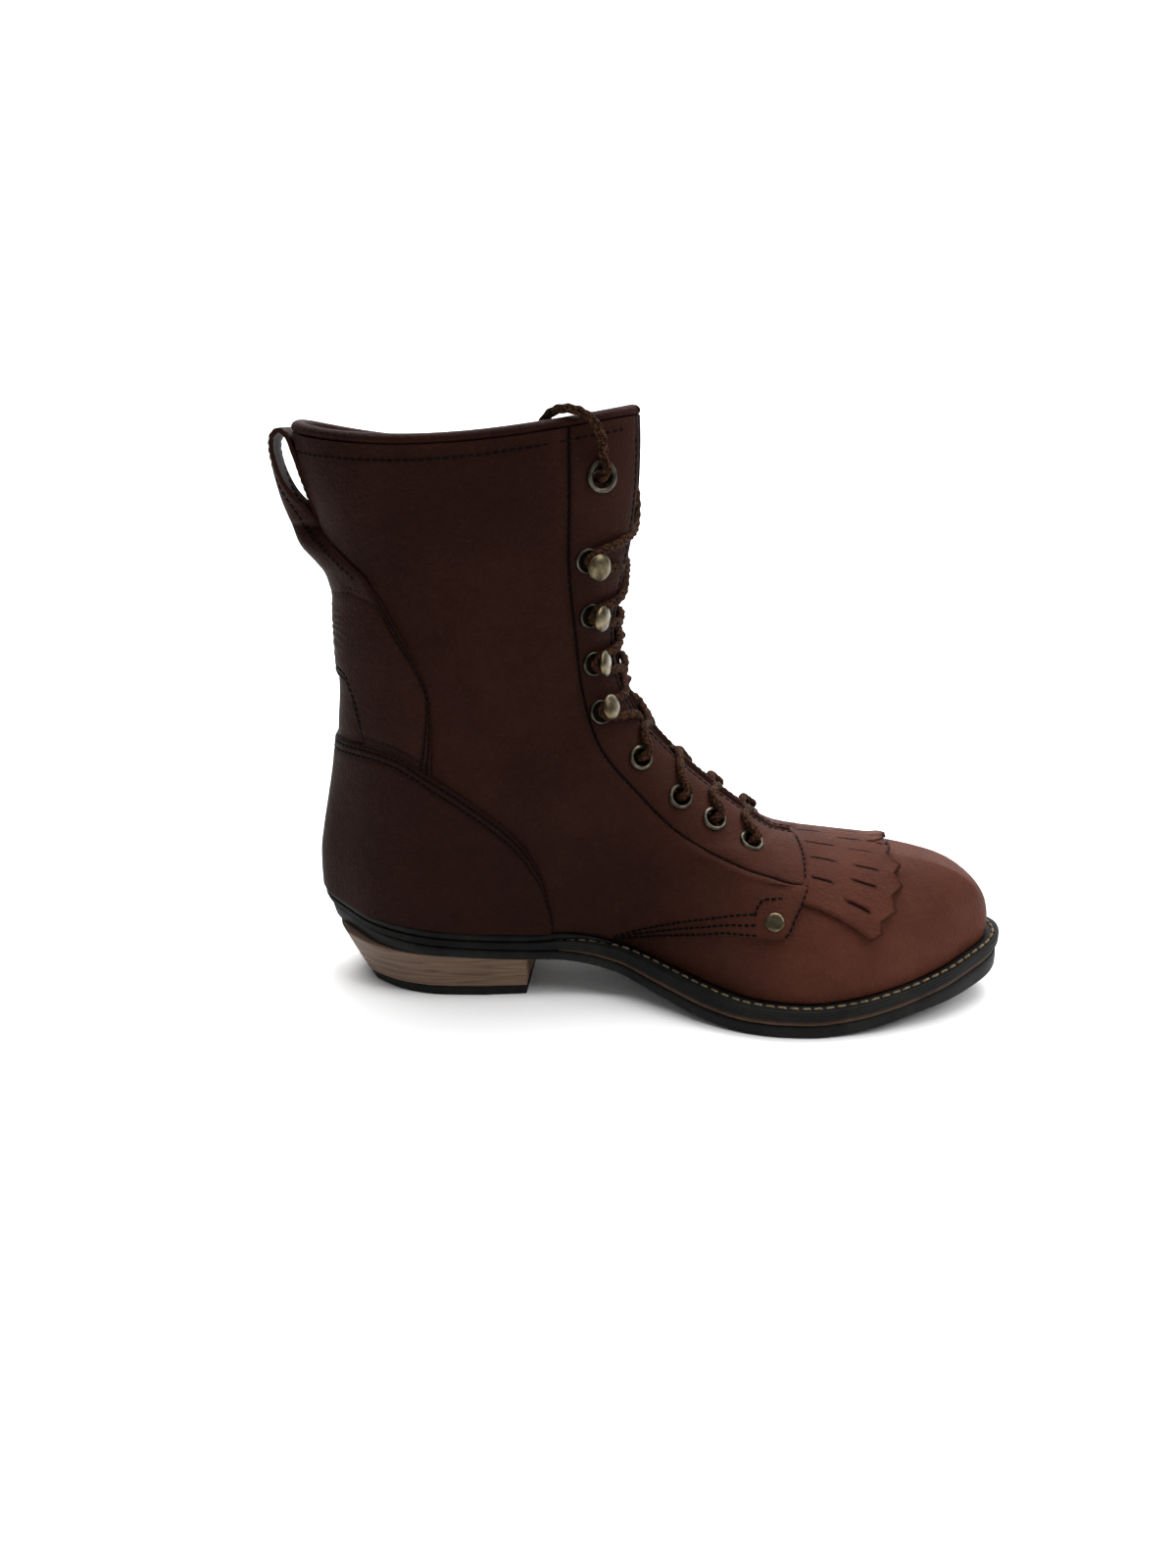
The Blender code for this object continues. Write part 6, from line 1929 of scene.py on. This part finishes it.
def build_laces(look):
    """Two strands that cross from eyelet to eyelet, round the hooks and up to the top eyelets."""
    places = EYELET_PLACES + HOOK_PLACES + (TOP_EYELET_PLACE,)
    kinds = ["eyelet"] * len(EYELET_PLACES) + ["hook"] * len(HOOK_PLACES) + ["top"]
    courses = {"eyelet": (LACE_REACH, LACE_LEAVE), "hook": (LACE_HOOK,), "top": (LACE_REACH, (LACE_TOP,))}
    parts = []
    for side in (-1, 1):
        upper = side < 0
        path = lace_course(places[0], side, LACE_LEAVE)
        for low, place, kind in zip(places, places[1:], kinds[1:]):
            upper_lift, lower_lift, share = CROSSINGS[kind]
            path.append(throat_middle(low, place, side, upper_lift if upper else lower_lift, share))
            upper = not upper
            side = -side
            path += lace_course(place, side, *courses[kind])
        if side < 0:
            path += [lace_at(TOP_EYELET_PLACE, side, *LACE_TOP_RISE), np.array(LACE_END_ROUTE[0])]
        points, faces, _ = rope(np.array(path))
        parts.append((points, faces))
    points, faces = joined(parts)
    add("laces", points, faces, look, [f"lace_cross_{k + 1}" for k in range(LACE_CROSSES)])


# Stage

def build_stage(look):
    """Pale floor that sweeps up into a wall, and soft lights over and behind the boot."""
    turn = np.linspace(0, math.pi / 2, 24)
    wall_y = SWEEP_START + SWEEP_RADIUS
    y = np.concatenate([[-FLOOR_REACH], SWEEP_START + SWEEP_RADIUS * np.sin(turn), [wall_y]])
    z = np.concatenate([[0.0], SWEEP_RADIUS * (1 - np.cos(turn)), [WALL_HEIGHT]])
    points = [(x, y[k], z[k]) for k in range(len(y)) for x in (-FLOOR_REACH, FLOOR_REACH)]
    mesh = bpy.data.meshes.new("floor")
    mesh.from_pydata(points, [], quads(len(y), 2).tolist())
    mesh.polygons.foreach_set("use_smooth", [True] * len(mesh.polygons))
    mesh.materials.append(look)
    floor = bpy.data.objects.new("floor", mesh)
    bpy.context.scene.collection.objects.link(floor)
    world = bpy.data.worlds.new("studio")
    world.use_nodes = True
    background = world.node_tree.nodes["Background"]
    background.inputs["Color"].default_value = (1.0, 1.0, 1.0, 1.0)
    background.inputs["Strength"].default_value = WORLD_STRENGTH
    bpy.context.scene.world = world
    bpy.context.scene.view_settings.view_transform = "Standard"
    for name, place, size, power, aim in LIGHTS:
        data = bpy.data.lights.new(name, "AREA")
        data.size = size
        data.energy = power
        light = bpy.data.objects.new(name, data)
        light.location = place
        light.rotation_mode = "QUATERNION"
        light.rotation_quaternion = (Vector(aim) - Vector(place)).to_track_quat("-Z", "Y")
        bpy.context.scene.collection.objects.link(light)


def main():
    build_camera()
    lace_yarn = thread("lace_yarn", LACE_YARN)
    build_lace_end(lace_yarn)
    brown = leather("leather_brown", BROWN)
    dark_brown = leather("leather_dark", DARK_BROWN)
    lining = leather("leather_lining", LINING, LINING_ROUGHNESS, LINING_PAINTED_SHADE)
    black = rubber("sole_rubber", BLACK)
    grey = rubber("welt_rubber", WELT_BLACK)
    mid = rubber("midsole_fibre", FIBRE, MATT_ROUGHNESS)
    tan = leather("insole_leather", TAN, MATT_ROUGHNESS, NO_PAINTED_SHADE)
    brass = metal("antique_brass", BRASS, BRASS_ROUGHNESS)
    dark_metal = metal("dark_brass", DARK_BRASS, DARK_BRASS_ROUGHNESS)
    seam_thread = thread("seam_thread", SEAM_THREAD)
    welt_thread = thread("welt_thread", WELT_THREAD)
    build_outsole(black)
    build_midsole(mid)
    build_welt(grey)
    build_welt_stitches(welt_thread)
    build_rand(grey)
    build_insole(tan)
    build_heel(stacked_leather(), black)
    build_shell(brown, lining)
    threads = []
    for name in SIDES:
        build_quarter(name, brown, threads)
        build_eyestay(name, brown, threads)
    build_counter(dark_brown, threads)
    build_back_strap(brown, threads)
    build_tongue(brown)
    build_kiltie(brown)
    build_binding(dark_brown)
    build_collar_stitches(threads)
    build_foot_stitches(threads)
    build_pull_loop(brown, threads)
    points, faces = joined(threads)
    add("seam_stitches", points, faces, seam_thread)
    build_hardware(brass, dark_metal)
    build_laces(lace_yarn)
    build_stage(plain_floor())


main()
